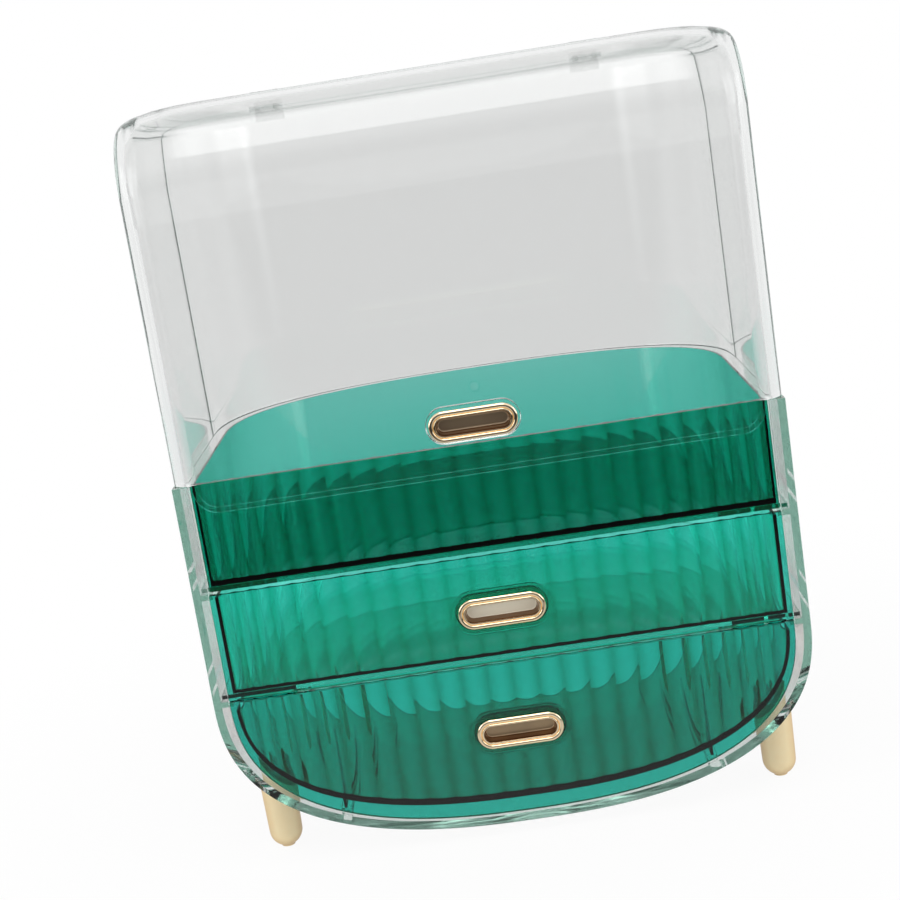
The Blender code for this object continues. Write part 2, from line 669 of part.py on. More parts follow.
def make_middle_drawer(material):
    half = LIP_HALF_OPENING - PLATE_HALF_GAP
    plate_top = -TRAY_PLATE_DROP - PLATE_GAP
    plate = box((-half, 0, -MIDDLE_PLATE_DROP), (half, PLATE_THICKNESS, plate_top))
    item = mesh_object("middle_drawer", plate, material)
    low = -MIDDLE_FLOOR_DROP - DRAWER_FLOOR_THICKNESS
    high = -SHELF_UPPER_DROP - SHELF_THICKNESS - DRAWER_WALL_CLEARANCE
    join(item, bowed_box(DRAWER_HALF_WIDTH, PLATE_THICKNESS / 2, MIDDLE_BOW_START,
                         (MIDDLE_FOOT_BACK, MIDDLE_RIM_BACK), (low, high)), "box")
    for side, sign in (("right", 1), ("left", -1)):
        for index in (0, 1):
            x = sign * (RUNNER_RIB_PLACE + index * RUNNER_RIB_PITCH)
            rib = box((x - RUNNER_RIB_WIDTH / 2, SHELF_SET_BACK, low - RIB_HEIGHT),
                      (x + RUNNER_RIB_WIDTH / 2, SHELF_SET_BACK + MIDDLE_RIB_LENGTH, low + RIB_HEIGHT / 2))
            join(item, rib, f"rib_{side}_{index + 1}")
    lean = (MIDDLE_RIM_BACK - MIDDLE_FOOT_BACK) / (high - low) * OVERRUN
    hollow = bowed_box(DRAWER_HALF_WIDTH - BOX_WALL, PLATE_THICKNESS, MIDDLE_BOW_START,
                       (MIDDLE_FOOT_BACK - BOX_WALL, MIDDLE_RIM_BACK - BOX_WALL + lean),
                       (-MIDDLE_FLOOR_DROP, high + OVERRUN), flute_points(PLATE_THICKNESS))
    cut(item, hollow, "hollow")
    add_handle_seat(item, -MIDDLE_HANDLE_DROP, PLATE_THICKNESS, POCKET_RIM)
    return item


def make_bottom_drawer(material):
    half = LIP_HALF_OPENING - PLATE_HALF_GAP
    plate_top = -MIDDLE_PLATE_DROP - PLATE_GAP
    plate = bowl_outline(half, LIP_OPENING_DROP - PLATE_HALF_GAP, CASE_STRAIGHT, 0)
    item = mesh_object("bottom_drawer", prism_along_y(plate, 0, PLATE_THICKNESS), material)
    above = box((-HALF_WIDTH, -OVERRUN, plate_top), (HALF_WIDTH, PLATE_THICKNESS + OVERRUN, OVERRUN))
    cut(item, above, "top")
    high = -SHELF_LOWER_DROP - SHELF_THICKNESS - RAIL_HEIGHT - FIT_GAP - DRAWER_WALL_CLEARANCE
    make_tub(item, "UNION", "box", DRAWER_HALF_WIDTH, BOTTOM_DRAWER_DROP, PLATE_THICKNESS / 2, BOTTOM_BACK,
             high)
    rib_low = bowl_bottom(LIP_HALF_OPENING, LIP_OPENING_DROP, BOTTOM_RIB_PLACE) + BASE_RAIL_RISE + FIT_GAP
    floor = bowl_bottom(DRAWER_HALF_WIDTH, BOTTOM_DRAWER_DROP, BOTTOM_RIB_PLACE)
    rib_high = floor + DRAWER_FLOOR_THICKNESS / 2
    for side, x in (("right", BOTTOM_RIB_PLACE), ("left", -BOTTOM_RIB_PLACE)):
        rib = box((x - RUNNER_RIB_WIDTH / 2, PLATE_THICKNESS / 2, rib_low),
                  (x + RUNNER_RIB_WIDTH / 2, PLATE_THICKNESS / 2 + BOTTOM_RIB_LENGTH, rib_high))
        join(item, rib, f"rib_{side}")
    make_tub(item, "DIFFERENCE", "hollow", DRAWER_HALF_WIDTH - BOX_WALL,
             BOTTOM_DRAWER_DROP - DRAWER_FLOOR_THICKNESS, PLATE_THICKNESS, BOTTOM_BACK - BOX_WALL,
             high + OVERRUN, flute_points(PLATE_THICKNESS))
    add_handle_seat(item, -BOTTOM_HANDLE_DROP, PLATE_THICKNESS, POCKET_RIM)
    return item


def make_tub(item, operation, name, half_width, drop, near, back, high, front=()):
    """Joins or cuts a round-bottomed box with a bowed back, the common part of two prisms."""
    outline = bowl_outline(half_width, drop, CASE_STRAIGHT, 0)
    combine(item, prism_along_y(outline, near - OVERRUN, back + OVERRUN), operation, name)
    prism = item.modifiers[-1].object
    levels = (-drop - OVERRUN, high)
    plan = bowed_box(half_width + OVERRUN, near, BOTTOM_BOW_START, (back, back), levels, front)
    combine(prism, plan, "INTERSECT", "plan")


def make_handle(name, centre_z, material):
    sections = [(HANDLE_CUP_INSET, CUP_DEPTH), (HANDLE_CUP_INSET, -FIT_GAP), (0, -FIT_GAP),
                (0, -HANDLE_PROUD + HANDLE_ROLL), (HANDLE_ROLL / 2, -HANDLE_PROUD),
                (HANDLE_LIP, -HANDLE_PROUD), (HANDLE_LIP + HANDLE_ROLL / 2, -HANDLE_PROUD + HANDLE_ROLL),
                (HANDLE_FLOOR_INSET, HANDLE_RECESS)]
    return mesh_object(name, loft(stadium_rings(sections, 0)), material, (0, FRONT_Y, FOOT_DROP + centre_z))


def add_axis(name, place):
    empty = bpy.data.objects.new(name, None)
    empty.location = place
    parts.objects.link(empty)
    return empty


def attach(item, empty):
    item.parent = empty
    item.location = item.location - empty.location


clear_scene()
parts = new_collection(OBJECT_NAME)
cutters = new_collection("cutters")
cutter_material = principled("cutter", (1, 1, 1), 1, 0, 0)
CLEAR = clear_plastic()
DRAWER = drawer_green()
GOLD = handle_gold()
STEEL = steel()

make_casing(CLEAR)
make_hood(CLEAR)
lid = make_lid(CLEAR)
lid_leaves = [make_hinge(side, x, CLEAR, STEEL) for side, x in hinge_places()]
make_shelf("shelf_upper", SHELF_UPPER_DROP, CLEAR)
make_shelf("shelf_lower", SHELF_LOWER_DROP, CLEAR)
make_tray(tray_green())
middle = make_middle_drawer(DRAWER)
bottom = make_bottom_drawer(DRAWER)
lid_handle = make_handle("lid_handle", LID_HANDLE_RISE, GOLD)
middle_handle = make_handle("middle_handle", -MIDDLE_HANDLE_DROP, GOLD)
bottom_handle = make_handle("bottom_handle", -BOTTOM_HANDLE_DROP, GOLD)
make_feet(foot_gold())
make_foot_screws(STEEL)

lid_axis = add_axis("lid_axis", (0, FRONT_Y + BOW_START, FOOT_DROP + HINGE_RISE))
middle_axis = add_axis("middle_drawer_axis", (0, FRONT_Y, FOOT_DROP - MIDDLE_HANDLE_DROP))
bottom_axis = add_axis("bottom_drawer_axis", (0, FRONT_Y, FOOT_DROP - BOTTOM_HANDLE_DROP))
for piece in (lid, lid_handle, *lid_leaves):
    attach(piece, lid_axis)
for piece in (middle, middle_handle):
    attach(piece, middle_axis)
for piece in (bottom, bottom_handle):
    attach(piece, bottom_axis)
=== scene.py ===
from math import cos, hypot, pi, radians, sin, sqrt

import bmesh
import bpy
from mathutils import Matrix, Vector


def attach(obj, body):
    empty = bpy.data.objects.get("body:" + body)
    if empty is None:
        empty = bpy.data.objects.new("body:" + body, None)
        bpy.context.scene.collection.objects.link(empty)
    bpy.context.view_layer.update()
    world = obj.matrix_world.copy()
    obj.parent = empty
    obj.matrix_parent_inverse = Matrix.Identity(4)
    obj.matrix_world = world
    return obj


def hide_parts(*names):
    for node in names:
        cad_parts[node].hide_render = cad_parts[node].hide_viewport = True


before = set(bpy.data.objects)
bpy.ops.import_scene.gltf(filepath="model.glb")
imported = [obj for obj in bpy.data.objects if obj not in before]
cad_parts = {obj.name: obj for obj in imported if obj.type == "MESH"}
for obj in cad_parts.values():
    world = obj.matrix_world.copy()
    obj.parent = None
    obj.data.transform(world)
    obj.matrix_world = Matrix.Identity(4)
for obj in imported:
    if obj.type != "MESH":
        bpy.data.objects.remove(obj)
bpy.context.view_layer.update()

# Sizes in metres. The rim is the level where the lid meets the casing: drops are measured down from it, and
# rises and tops up from it. Starts and backs are measured from the front face to the rear.
CASE_WIDTH = 0.2994
CASE_DEPTH = 0.230
CASE_DROP = 0.1968
CASE_STRAIGHT = 0.112
CASE_WALL = 0.0035
LIP_THICKNESS = 0.0035
LIP_WIDTH = 0.0077
LIP_BASE_WIDTH = 0.0052
LIP_OVERCUT = 0.0005
BOW_START = 0.1247
TOTAL_HEIGHT = 0.3833
TOP_WALL = 0.0030
FRONT_WALL = 0.0033
BEND_RADIUS = 0.038
SIDE_EDGE_RADIUS = 0.010
CROWN_WIDTH = 0.045
CROWN_DROP = 0.010
BACK_CROWN = 0.024
ROUND_POWER = 2.5
FIT_GAP = 0.0003
OVERRUN = 0.004
FRONT_Y = -0.1142
RIM_Z = 0.2030
ORIGIN = Vector((0, FRONT_Y, RIM_Z))
HALF_WIDTH = CASE_WIDTH / 2
HEAD_HEIGHT = TOTAL_HEIGHT - RIM_Z
LIP_HALF_OPENING = HALF_WIDTH - LIP_WIDTH
LIP_OPENING_DROP = CASE_DROP - LIP_BASE_WIDTH

# Rails and screw bosses of the casing
RAIL_WIDTH = 0.0060
RAIL_HEIGHT = 0.0028
RAIL_BITE = 0.0010
RAIL_TOPS = (-0.0556, -0.1120)
BASE_RAIL_PLACE = 0.0935
BASE_RAIL_WIDTH = 0.0050
BASE_RAIL_BACK = 0.110
BASE_RAIL_RISE = 0.0018
SCREW_HEAD_HEIGHT = 0.0018
SCREW_BOSS_RADIUS = 0.0052
SCREW_BOSS_RIM = 0.0005
SCREW_RADIUS = 0.0016
SCREW_HEAD_RADIUS = 0.0032
SCREW_HOLE_LENGTH = 0.024

# Feet: place to the right of the middle, and behind the front face
FOOT_PLACES = {"front_left": (-0.130, 0.027), "front_right": (0.130, 0.027),
               "rear_left": (-0.126, 0.148), "rear_right": (0.126, 0.148)}
FOOT_RADIUS = 0.0094
FOOT_TIP_RADIUS = 0.0086
FOOT_FLAT_RADIUS = 0.0035
FOOT_TOP_DROP = 0.142
FOOT_SHOULDER_WIDTH = 0.0001
FOOT_SHOULDER_HEIGHT = 0.004

# Lid tongue, hinge slots and rivet holes
LID_END_GAP = 0.0006
HOOD_END_GAP = 0.0015
TONGUE_HALF_GAP = 0.0021
TONGUE_DROP = 0.0147
TONGUE_CORNER = 0.012
TONGUE_EDGE = 0.0024
TONGUE_STEP = 0.0014
HINGE_SIDE_INSET = 0.0639
HINGE_SLOT_WIDTH = 0.0170
HINGE_SLOT_REACH = 0.0045
HINGE_SLOT_OVERCUT = 0.001
RIVET_PLACE = 0.0065
RIVET_SPAN = 0.0100
RIVET_RADIUS = 0.0011
RIVET_HOLE_LENGTH = 0.012
HINGE_PLACE = HALF_WIDTH - HINGE_SIDE_INSET
HINGE_PLACES = (-HINGE_PLACE, HINGE_PLACE)

# Tray
TRAY_SIDE_INSET = 0.0089
TRAY_SET_BACK = 0.0042
TRAY_FRONT_THICKNESS = 0.0038
TRAY_PLATE_DROP = 0.055
TRAY_FLOOR_DROP = 0.0500
TRAY_FLOOR_THICKNESS = 0.0030
TRAY_WALL = 0.0012
TRAY_RIM_BACK = 0.2235
TRAY_FOOT_BACK = 0.2120
TRAY_SLOPE_SHARE = 0.217
RING_DROP = 0.0109
RING_RADIUS = 0.0035
RING_HOLE_RADIUS = 0.0027
RING_PROUD = 0.0005
RING_BITE = 0.0009
RING_HOLE_REACH = 0.0030
TRAY_HALF_WIDTH = HALF_WIDTH - TRAY_SIDE_INSET
TRAY_BASE_DROP = TRAY_FLOOR_DROP + TRAY_FLOOR_THICKNESS

# Drawers
BOX_WALL = 0.0018
PLATE_THICKNESS = 0.0030
PLATE_GAP = 0.0009
DRAWER_SIDE_INSET = 0.0104
RIB_WIDTH = 0.0014
RIB_INSET = 0.0080
RIB_PITCH = 0.0042
MIDDLE_PLATE_DROP = 0.111
MIDDLE_BOX_TOP = -0.0575
MIDDLE_FLOOR_DROP = 0.106
MIDDLE_FLOOR_THICKNESS = 0.0020
MIDDLE_BOW_START = 0.100
MIDDLE_FOOT_BACK = 0.162
MIDDLE_RIM_BACK = 0.172
MIDDLE_RIB_START = 0.007
MIDDLE_RIB_BACK = 0.097
BOTTOM_BOX_TOP = -0.1170
BOTTOM_DRAWER_DROP = 0.1844
BOTTOM_HOLLOW_DROP = 0.1804
BOTTOM_BOW_START = 0.066
BOTTOM_BACK = 0.129
BOTTOM_RIB_BACK = 0.079
BOTTOM_RIB_BITE = 0.001
DRAWER_HALF_WIDTH = HALF_WIDTH - DRAWER_SIDE_INSET

# Flutes on the inner faces of the green front plates, with ridges at shares of half their span
FLUTE_DEPTH = 0.0015
FLUTE_HALF_SPAN = DRAWER_HALF_WIDTH - BOX_WALL
FLUTE_RIDGE_SHARES = (0.092, 0.184, 0.276, 0.368, 0.460, 0.552, 0.647, 0.729, 0.8145, 0.880, 0.940, 0.9965)

# Finger pulls and the pockets that they sit in
HANDLE_LENGTH = 0.0438
HANDLE_HEIGHT = 0.0156
HANDLE_RISES = {"lid_handle": 0.0107, "middle_handle": -0.0846, "bottom_handle": -0.1481}
HANDLE_BODIES = {"lid_handle": "lid", "middle_handle": "middle_drawer", "bottom_handle": "bottom_drawer"}
CUP_DEPTH = 0.0052
CUP_INSET = 0.0021
# Insets, depths and slots that pick a pull's inner wall for painted shade and its pan for a painted
# reflection
CUP_WALL_INSET = 0.0037
CUP_WALL_START = -0.0009
CUP_PAN_START = 0.0037
CUP_SHADE_SLOT = 1
CUP_REFLECTION_SLOT = 2
POCKET_WALL = 0.0017
LID_POCKET_RIM = 0.0014
DRAWER_POCKET_RIM = 0.0013
POCKET_EDGE_RADIUS = 0.0008
POCKET_EDGE_BULGE = 0.0003
PAD_RIM = 0.0036
PAD_RISE = 0.0006
PAD_EDGE_WIDTH = 0.0003
PAD_EDGE_HEIGHT = 0.0002

# Section of a pull from its back over the rolled rim and the lip to the pan: inset from its edge, and depth
HANDLE_SECTIONS = [(0.0021, 0.0052), (0.0021, -0.0003), (0, -0.0003), (0, -0.0006), (0.00012, -0.0010),
                   (0.00042, -0.00138), (0.00085, -0.00158), (0.0013, -0.00158), (0.00175, -0.00148),
                   (0.0021, -0.0012), (0.0023, -0.0007), (0.0025, -0.0011), (0.0028, -0.00135),
                   (0.0031, -0.00142), (0.0034, -0.00135), (0.00365, -0.0010), (0.0039, -0.0004),
                   (0.0041, 0.0014), (0.0043, 0.0032), (0.0045, 0.0038), (0.0049, 0.0041), (0.0054, 0.0042)]

# Facets, edge roundings and the angles, in degrees, above which an edge stays sharp
ROUND_STEPS = 40
CORNER_STEPS = 14
BEND_STEPS = CORNER_STEPS * 2
CROWN_END_STEPS = 3
FLUTE_STEPS = 8
STADIUM_STEPS = 24
HOLE_STEPS = 24
BOSS_STEPS = 32
FOOT_STEPS = 56
FOOT_TIP_STEPS = 14
CASE_EDGE = 0.0009
LID_EDGE = 0.0007
FINE_EDGE = 0.0004
EDGE_SEGMENTS = 2
EDGE_ANGLE = 50
SHARP_ANGLE = 32
FLUTED_SHARP_ANGLE = 14
HANDLE_SHARP_ANGLE = 40
FOOT_SHARP_ANGLE = 50
MERGE_DISTANCE = 1e-6


# Mesh helpers
def circle(radius, steps):
    angles = [2 * pi * i / steps for i in range(steps)]
    return [(radius * cos(angle), radius * sin(angle)) for angle in angles]


def quarter_round(steps):
    """Shares across and along a quarter of the superellipse that rounds the casing."""
    pairs = []
    for i in range(steps + 1):
        angle = pi / 2 * i / steps
        pairs.append((max(cos(angle), 0) ** (2 / ROUND_POWER), sin(angle) ** (2 / ROUND_POWER)))
    return pairs


def loft(rings):
    """Closed mesh through rings of equally many points."""
    bm = bmesh.new()
    rows = [[bm.verts.new(point) for point in ring] for ring in rings]
    for near, far in zip(rows, rows[1:]):
        for i in range(len(near)):
            j = (i + 1) % len(near)
            bm.faces.new((near[i], near[j], far[j], far[i]))
    bm.faces.new(rows[0])
    bm.faces.new(rows[-1])
    bmesh.ops.recalc_face_normals(bm, faces=bm.faces)
    return bm


def together(meshes):
    """One mesh that holds several separate ones."""
    bm = bmesh.new()
    for part in meshes:
        part.verts.index_update()
        copies = [bm.verts.new(vert.co) for vert in part.verts]
        for face in part.faces:
            bm.faces.new([copies[vert.index] for vert in face.verts])
        part.free()
    return bm


def common(first, second):
    """The space that two closed meshes share."""
    item = make_object("common", first)
    combine(item, second, "INTERSECT")
    bm = bmesh.new()
    bm.from_mesh(item.data)
    bmesh.ops.translate(bm, verts=bm.verts, vec=-ORIGIN)
    bpy.data.objects.remove(item, do_unlink=True)
    return bm


def make_object(name, bm, offset=ORIGIN):
    mesh = bpy.data.meshes.new(name)
    bmesh.ops.translate(bm, verts=bm.verts, vec=offset)
    bm.to_mesh(mesh)
    bm.free()
    item = bpy.data.objects.new(name, mesh)
    bpy.context.scene.collection.objects.link(item)
    return item


def apply_modifiers(item):
    bpy.context.view_layer.update()
    evaluated = item.evaluated_get(bpy.context.evaluated_depsgraph_get())
    mesh = bpy.data.meshes.new_from_object(evaluated)
    item.modifiers.clear()
    item.data = mesh


def combine(item, bm, operation):
    other = make_object(item.name + "_tool", bm)
    modifier = item.modifiers.new("combine", "BOOLEAN")
    modifier.operation = operation
    modifier.solver = "EXACT"
    modifier.object = other
    apply_modifiers(item)
    bpy.data.objects.remove(other, do_unlink=True)


def soften(item, width, sharp=SHARP_ANGLE):
    """Small rounded edges where width isn't zero, then smooth shading."""
    bm = bmesh.new()
    bm.from_mesh(item.data)
    bmesh.ops.remove_doubles(bm, verts=bm.verts, dist=MERGE_DISTANCE)
    bmesh.ops.dissolve_degenerate(bm, edges=bm.edges, dist=MERGE_DISTANCE)
    bm.to_mesh(item.data)
    bm.free()
    if width:
        modifier = item.modifiers.new("edges", "BEVEL")
        modifier.width = width
        modifier.segments = EDGE_SEGMENTS
        modifier.limit_method = "ANGLE"
        modifier.angle_limit = radians(EDGE_ANGLE)
        apply_modifiers(item)
    item.data.shade_smooth()
    item.data.set_sharp_from_angle(angle=radians(sharp))
    modifier = item.modifiers.new("flat faces", "WEIGHTED_NORMAL")
    modifier.keep_sharp = True
    apply_modifiers(item)


def prism_along_y(outline, near, far):
    return loft([[(x, y, z) for x, z in outline] for y in (near, far)])


def box(low, high):
    corners = [(low[0], low[1]), (high[0], low[1]), (high[0], high[1]), (low[0], high[1])]
    return loft([[(x, y, z) for x, y in corners] for z in (low[2], high[2])])


def cylinder(radius, x, y, middle_z, length, steps=HOLE_STEPS):
    levels = (middle_z - length / 2, middle_z + length / 2)
    return loft([[(x + a, y + b, z) for a, b in circle(radius, steps)] for z in levels])


def bowl_outline(half_width, drop, top):
    """Front view of the casing: straight sides over a round bottom."""
    right = [(half_width, top)]
    for across, along in quarter_round(ROUND_STEPS):
        right.append((half_width * across, -CASE_STRAIGHT - (drop - CASE_STRAIGHT) * along))
    left = [(-x, z) for x, z in reversed(right[:-1])]
    return right + left


def bowl(half_width, drop, near, far, top):
    """Casing's form: its outline shrinks towards the back, where a small flat face closes it."""
    stations = [(1, near)]
    pairs = quarter_round(ROUND_STEPS)
    for across, along in pairs[:-2]:
        stations.append((across, BOW_START + (far - BOW_START) * along))
    stations.append((pairs[-2][0], far))
    rings = []
    for scale, y in stations:
        depth = CASE_STRAIGHT + (drop - CASE_STRAIGHT) * scale
        rings.append([(x, y, z) for x, z in bowl_outline(half_width * scale, depth, top)])
    return loft(rings)


def bowl_bottom(half_width, drop, x):
    """Level of the round bottom at x."""
    share = 1 - (abs(x) / half_width) ** ROUND_POWER
    return -CASE_STRAIGHT - (drop - CASE_STRAIGHT) * share ** (1 / ROUND_POWER)


def flute_points(near):
    """Inner face of a front plate from left to right: ridges at near, hollow flutes between them."""
    right = [FLUTE_HALF_SPAN * share for share in FLUTE_RIDGE_SHARES]
    ridges = [-x for x in reversed(right)] + [0] + right
    points = []
    for low, high in zip(ridges, ridges[1:]):
        for i in range(FLUTE_STEPS):
            share = i / FLUTE_STEPS
            dent = FLUTE_DEPTH * (1 - (1 - 2 * share) ** 2)
            points.append((low + (high - low) * share, near - dent))
    return points + [(ridges[-1], near)]


def bowed_plan(half_width, near, start, back):
    """Top view of a box whose back bows out from start."""
    plan = [(half_width, near), (half_width, start)]
    for across, along in quarter_round(ROUND_STEPS)[1:]:
        plan.append((half_width * across, start + (back - start) * along))
    return plan + [(-x, y) for x, y in reversed(plan[:-1])]


def bowed_box(half_width, near, start, backs, levels, front=()):
    """Box between bowed plans at two levels; the points in front, if any, shape its front face."""
    rings = []
    for z, back in zip(levels, backs):
        rings.append([(x, y, z) for x, y in [*bowed_plan(half_width, near, start, back), *front]])
    return loft(rings)


def tub(half_width, drop, near, back, high, front=()):
    """Round-bottomed box with a bowed back, the common part of two prisms."""
    outline = prism_along_y(bowl_outline(half_width, drop, 0), near - OVERRUN, back + OVERRUN)
    levels = (-drop - OVERRUN, high)
    plan = bowed_box(half_width + OVERRUN, near, BOTTOM_BOW_START, (back, back), levels, front)
    return common(outline, plan)


def stadium(inset):
    """Outline of a pull, drawn in from its edge by inset."""
    radius = HANDLE_HEIGHT / 2 - inset
    half = HANDLE_LENGTH / 2 - HANDLE_HEIGHT / 2
    points = []
    for side in (1, -1):
        for i in range(STADIUM_STEPS + 1):
            angle = -pi / 2 + pi * i / STADIUM_STEPS
            points.append((side * (half + radius * cos(angle)), side * radius * sin(angle)))
    return points


def stadium_solid(sections, centre_z):
    """Solid through stadium outlines, each given by its inset from a pull's edge and its depth."""
    rings = []
    for inset, y in sections:
        rings.append([(x, y, z + centre_z) for x, z in stadium(inset)])
    return loft(rings)


def add_pad(item, centre_z):
    """Thin raised pad round the pocket on the back of a drawer's front plate."""
    face = PLATE_THICKNESS + PAD_RISE
    sections = [(-PAD_RIM, PLATE_THICKNESS / 2), (-PAD_RIM, face - PAD_EDGE_HEIGHT),
                (PAD_EDGE_WIDTH - PAD_RIM, face)]
    combine(item, stadium_solid(sections, centre_z), "UNION")


def add_handle_seat(item, centre_z, plate_back, rim):
    """Pocket behind the plate that a pull sits in, and the hole for the pull."""
    back = CUP_DEPTH + FIT_GAP
    high = back + POCKET_WALL
    sections = [(-rim, plate_back / 2), (-rim, high - POCKET_EDGE_RADIUS),
                (POCKET_EDGE_BULGE - rim, high - POCKET_EDGE_BULGE), (POCKET_EDGE_RADIUS - rim, high)]
    combine(item, stadium_solid(sections, centre_z), "UNION")
    inset = CUP_INSET - FIT_GAP
    combine(item, stadium_solid([(inset, -OVERRUN), (inset, back)], centre_z), "DIFFERENCE")


# Shapes of the pieces
def lid_section(x, half_width, front, top, bend, low, back):
    """Side view of the lid at x: front face, bend and top, lower and set in near the side edges."""
    x = abs(x)
    share = max(0, (x - (half_width - CROWN_WIDTH)) / CROWN_WIDTH)
    drop = CROWN_DROP * (1 - max(0, 1 - share ** ROUND_POWER) ** (1 / ROUND_POWER))
    edge = max(0, x - (half_width - SIDE_EDGE_RADIUS))
    inset = SIDE_EDGE_RADIUS - sqrt(max(0, SIDE_EDGE_RADIUS ** 2 - edge ** 2))
    y0 = front + inset
    z1 = top - drop
    radius = bend - inset
    points = [(y0, low)]
    for i in range(BEND_STEPS + 1):
        angle = pi / 2 * i / BEND_STEPS
        points.append((y0 + radius - radius * cos(angle), z1 - radius + radius * sin(angle)))
    points.append((back, z1))
    points.append((back, low))
    return points


def lid_solid(half_width, front, top, bend, low, back):
    """Lid's form through sections from left to right; the side edge's steps end those of the crown."""
    values = [0, half_width - CROWN_WIDTH]
    for across, along in quarter_round(CORNER_STEPS)[1:-CROWN_END_STEPS]:
        values.append(half_width - CROWN_WIDTH + CROWN_WIDTH * (1 - across))
    for i in range(1, CORNER_STEPS + 1):
        values.append(half_width - SIDE_EDGE_RADIUS + SIDE_EDGE_RADIUS * sin(pi / 2 * i / CORNER_STEPS))
    values = sorted(set(values))
    rings = []
    for x in [-x for x in reversed(values[1:])] + values:
        section = lid_section(x, half_width, front, top, bend, low, back)
        rings.append([(x, y, z) for y, z in section])
    return loft(rings)


def hood_solid(half_width, near, back, top, low):
    """Hood's form: bowed plans that grow smaller over the crown."""
    levels = [(0, low)]
    for across, along in quarter_round(CORNER_STEPS):
        levels.append((1 - across, top - CROWN_DROP + CROWN_DROP * along))
    rings = []
    start = BOW_START + OVERRUN
    for share, z in levels:
        wide = half_width - CROWN_WIDTH * share
        deep = back - BACK_CROWN * share
        ring = [(wide, near, z), (wide, start, z)]
        for across, along in quarter_round(ROUND_STEPS)[1:]:
            ring.append((wide * across, start + (deep - start) * along, z))
        ring += [(-x, y, level) for x, y, level in reversed(ring[:-1])]
        rings.append(ring)
    return loft(rings)


def cut_hinge_slots(item):
    low = HEAD_HEIGHT - TOP_WALL - HINGE_SLOT_OVERCUT
    slots = []
    for x in HINGE_PLACES:
        slots.append(box((x - HINGE_SLOT_WIDTH / 2, BOW_START - HINGE_SLOT_REACH, low),
                         (x + HINGE_SLOT_WIDTH / 2, BOW_START + HINGE_SLOT_REACH, HEAD_HEIGHT + OVERRUN)))
    combine(item, together(slots), "DIFFERENCE")


def add_rails(item):
    """Side rails that carry the shelves, and two base rails that the bottom drawer runs on."""
    inner_half = HALF_WIDTH - CASE_WALL
    rails = []
    for top in RAIL_TOPS:
        for side in (1, -1):
            near_x, far_x = sorted((side * (inner_half - RAIL_WIDTH), side * (inner_half + RAIL_BITE)))
            rails.append(box((near_x, PLATE_THICKNESS + FIT_GAP, top - RAIL_HEIGHT), (far_x, BOW_START, top)))
    top = bowl_bottom(LIP_HALF_OPENING, LIP_OPENING_DROP, BASE_RAIL_PLACE) + BASE_RAIL_RISE
    low = bowl_bottom(inner_half, CASE_DROP - CASE_WALL, BASE_RAIL_PLACE) - CASE_WALL / 2
    half = BASE_RAIL_WIDTH / 2
    for x in (BASE_RAIL_PLACE, -BASE_RAIL_PLACE):
        rails.append(box((x - half, LIP_THICKNESS + FIT_GAP, low), (x + half, BASE_RAIL_BACK, top)))
    combine(item, together(rails), "UNION")


def screw_seat(x, y):
    """Level that the head of a foot screw rests on, one head height above the casing's floor."""
    scale = 1
    if y > BOW_START:
        share = (y - BOW_START) / (CASE_DEPTH - CASE_WALL - BOW_START)
        scale = (1 - share ** ROUND_POWER) ** (1 / ROUND_POWER)
    drop = CASE_STRAIGHT + (CASE_DROP - CASE_WALL - CASE_STRAIGHT) * scale
    return bowl_bottom((HALF_WIDTH - CASE_WALL) * scale, drop, x) + SCREW_HEAD_HEIGHT


def add_screw_bosses(item):
    """Bosses inside the casing, with room for the screw heads, and holes for the screws."""
    bosses = []
    rooms = []
    holes = []
    height = 2 * OVERRUN
    for x, y in FOOT_PLACES.values():
        seat = screw_seat(x, y)
        bosses.append(cylinder(SCREW_BOSS_RADIUS, x, y, seat + SCREW_BOSS_RIM - OVERRUN, height, BOSS_STEPS))
        rooms.append(cylinder(SCREW_HEAD_RADIUS + FIT_GAP, x, y, seat + OVERRUN, height, BOSS_STEPS))
        holes.append(cylinder(SCREW_RADIUS + FIT_GAP, x, y, seat - OVERRUN, SCREW_HOLE_LENGTH))
    half = CASE_WALL / 2
    surface = bowl(HALF_WIDTH - half, CASE_DROP - half, half, CASE_DEPTH - half, OVERRUN)
    combine(item, common(together(bosses), surface), "UNION")
    combine(item, together(rooms), "DIFFERENCE")
    combine(item, together(holes), "DIFFERENCE")


def make_casing():
    item = make_object("casing_shell", bowl(HALF_WIDTH, CASE_DROP, 0, CASE_DEPTH, 0))
    hollow = bowl(HALF_WIDTH - CASE_WALL, CASE_DROP - CASE_WALL, LIP_THICKNESS, CASE_DEPTH - CASE_WALL,
                  OVERRUN)
    combine(item, hollow, "DIFFERENCE")
    opening = bowl_outline(LIP_HALF_OPENING, LIP_OPENING_DROP, OVERRUN)
    combine(item, prism_along_y(opening, -OVERRUN, LIP_THICKNESS + LIP_OVERCUT), "DIFFERENCE")
    add_rails(item)
    add_screw_bosses(item)
    soften(item, CASE_EDGE)
    return item


def make_hood():
    near = BOW_START + HOOD_END_GAP
    item = make_object("hood_shell", hood_solid(HALF_WIDTH, near, CASE_DEPTH, HEAD_HEIGHT, FIT_GAP))
    hollow = hood_solid(HALF_WIDTH - CASE_WALL, near - OVERRUN, CASE_DEPTH - CASE_WALL,
                        HEAD_HEIGHT - TOP_WALL, -OVERRUN)
    combine(item, hollow, "DIFFERENCE")
    cut_hinge_slots(item)
    holes = []
    for x in HINGE_PLACES:
        for shift in (-RIVET_SPAN / 2, RIVET_SPAN / 2):
            holes.append(cylinder(RIVET_RADIUS + FIT_GAP, x + shift, BOW_START + RIVET_PLACE, HEAD_HEIGHT,
                                  RIVET_HOLE_LENGTH))
    combine(item, together(holes), "DIFFERENCE")
    soften(item, FINE_EDGE)
    return item


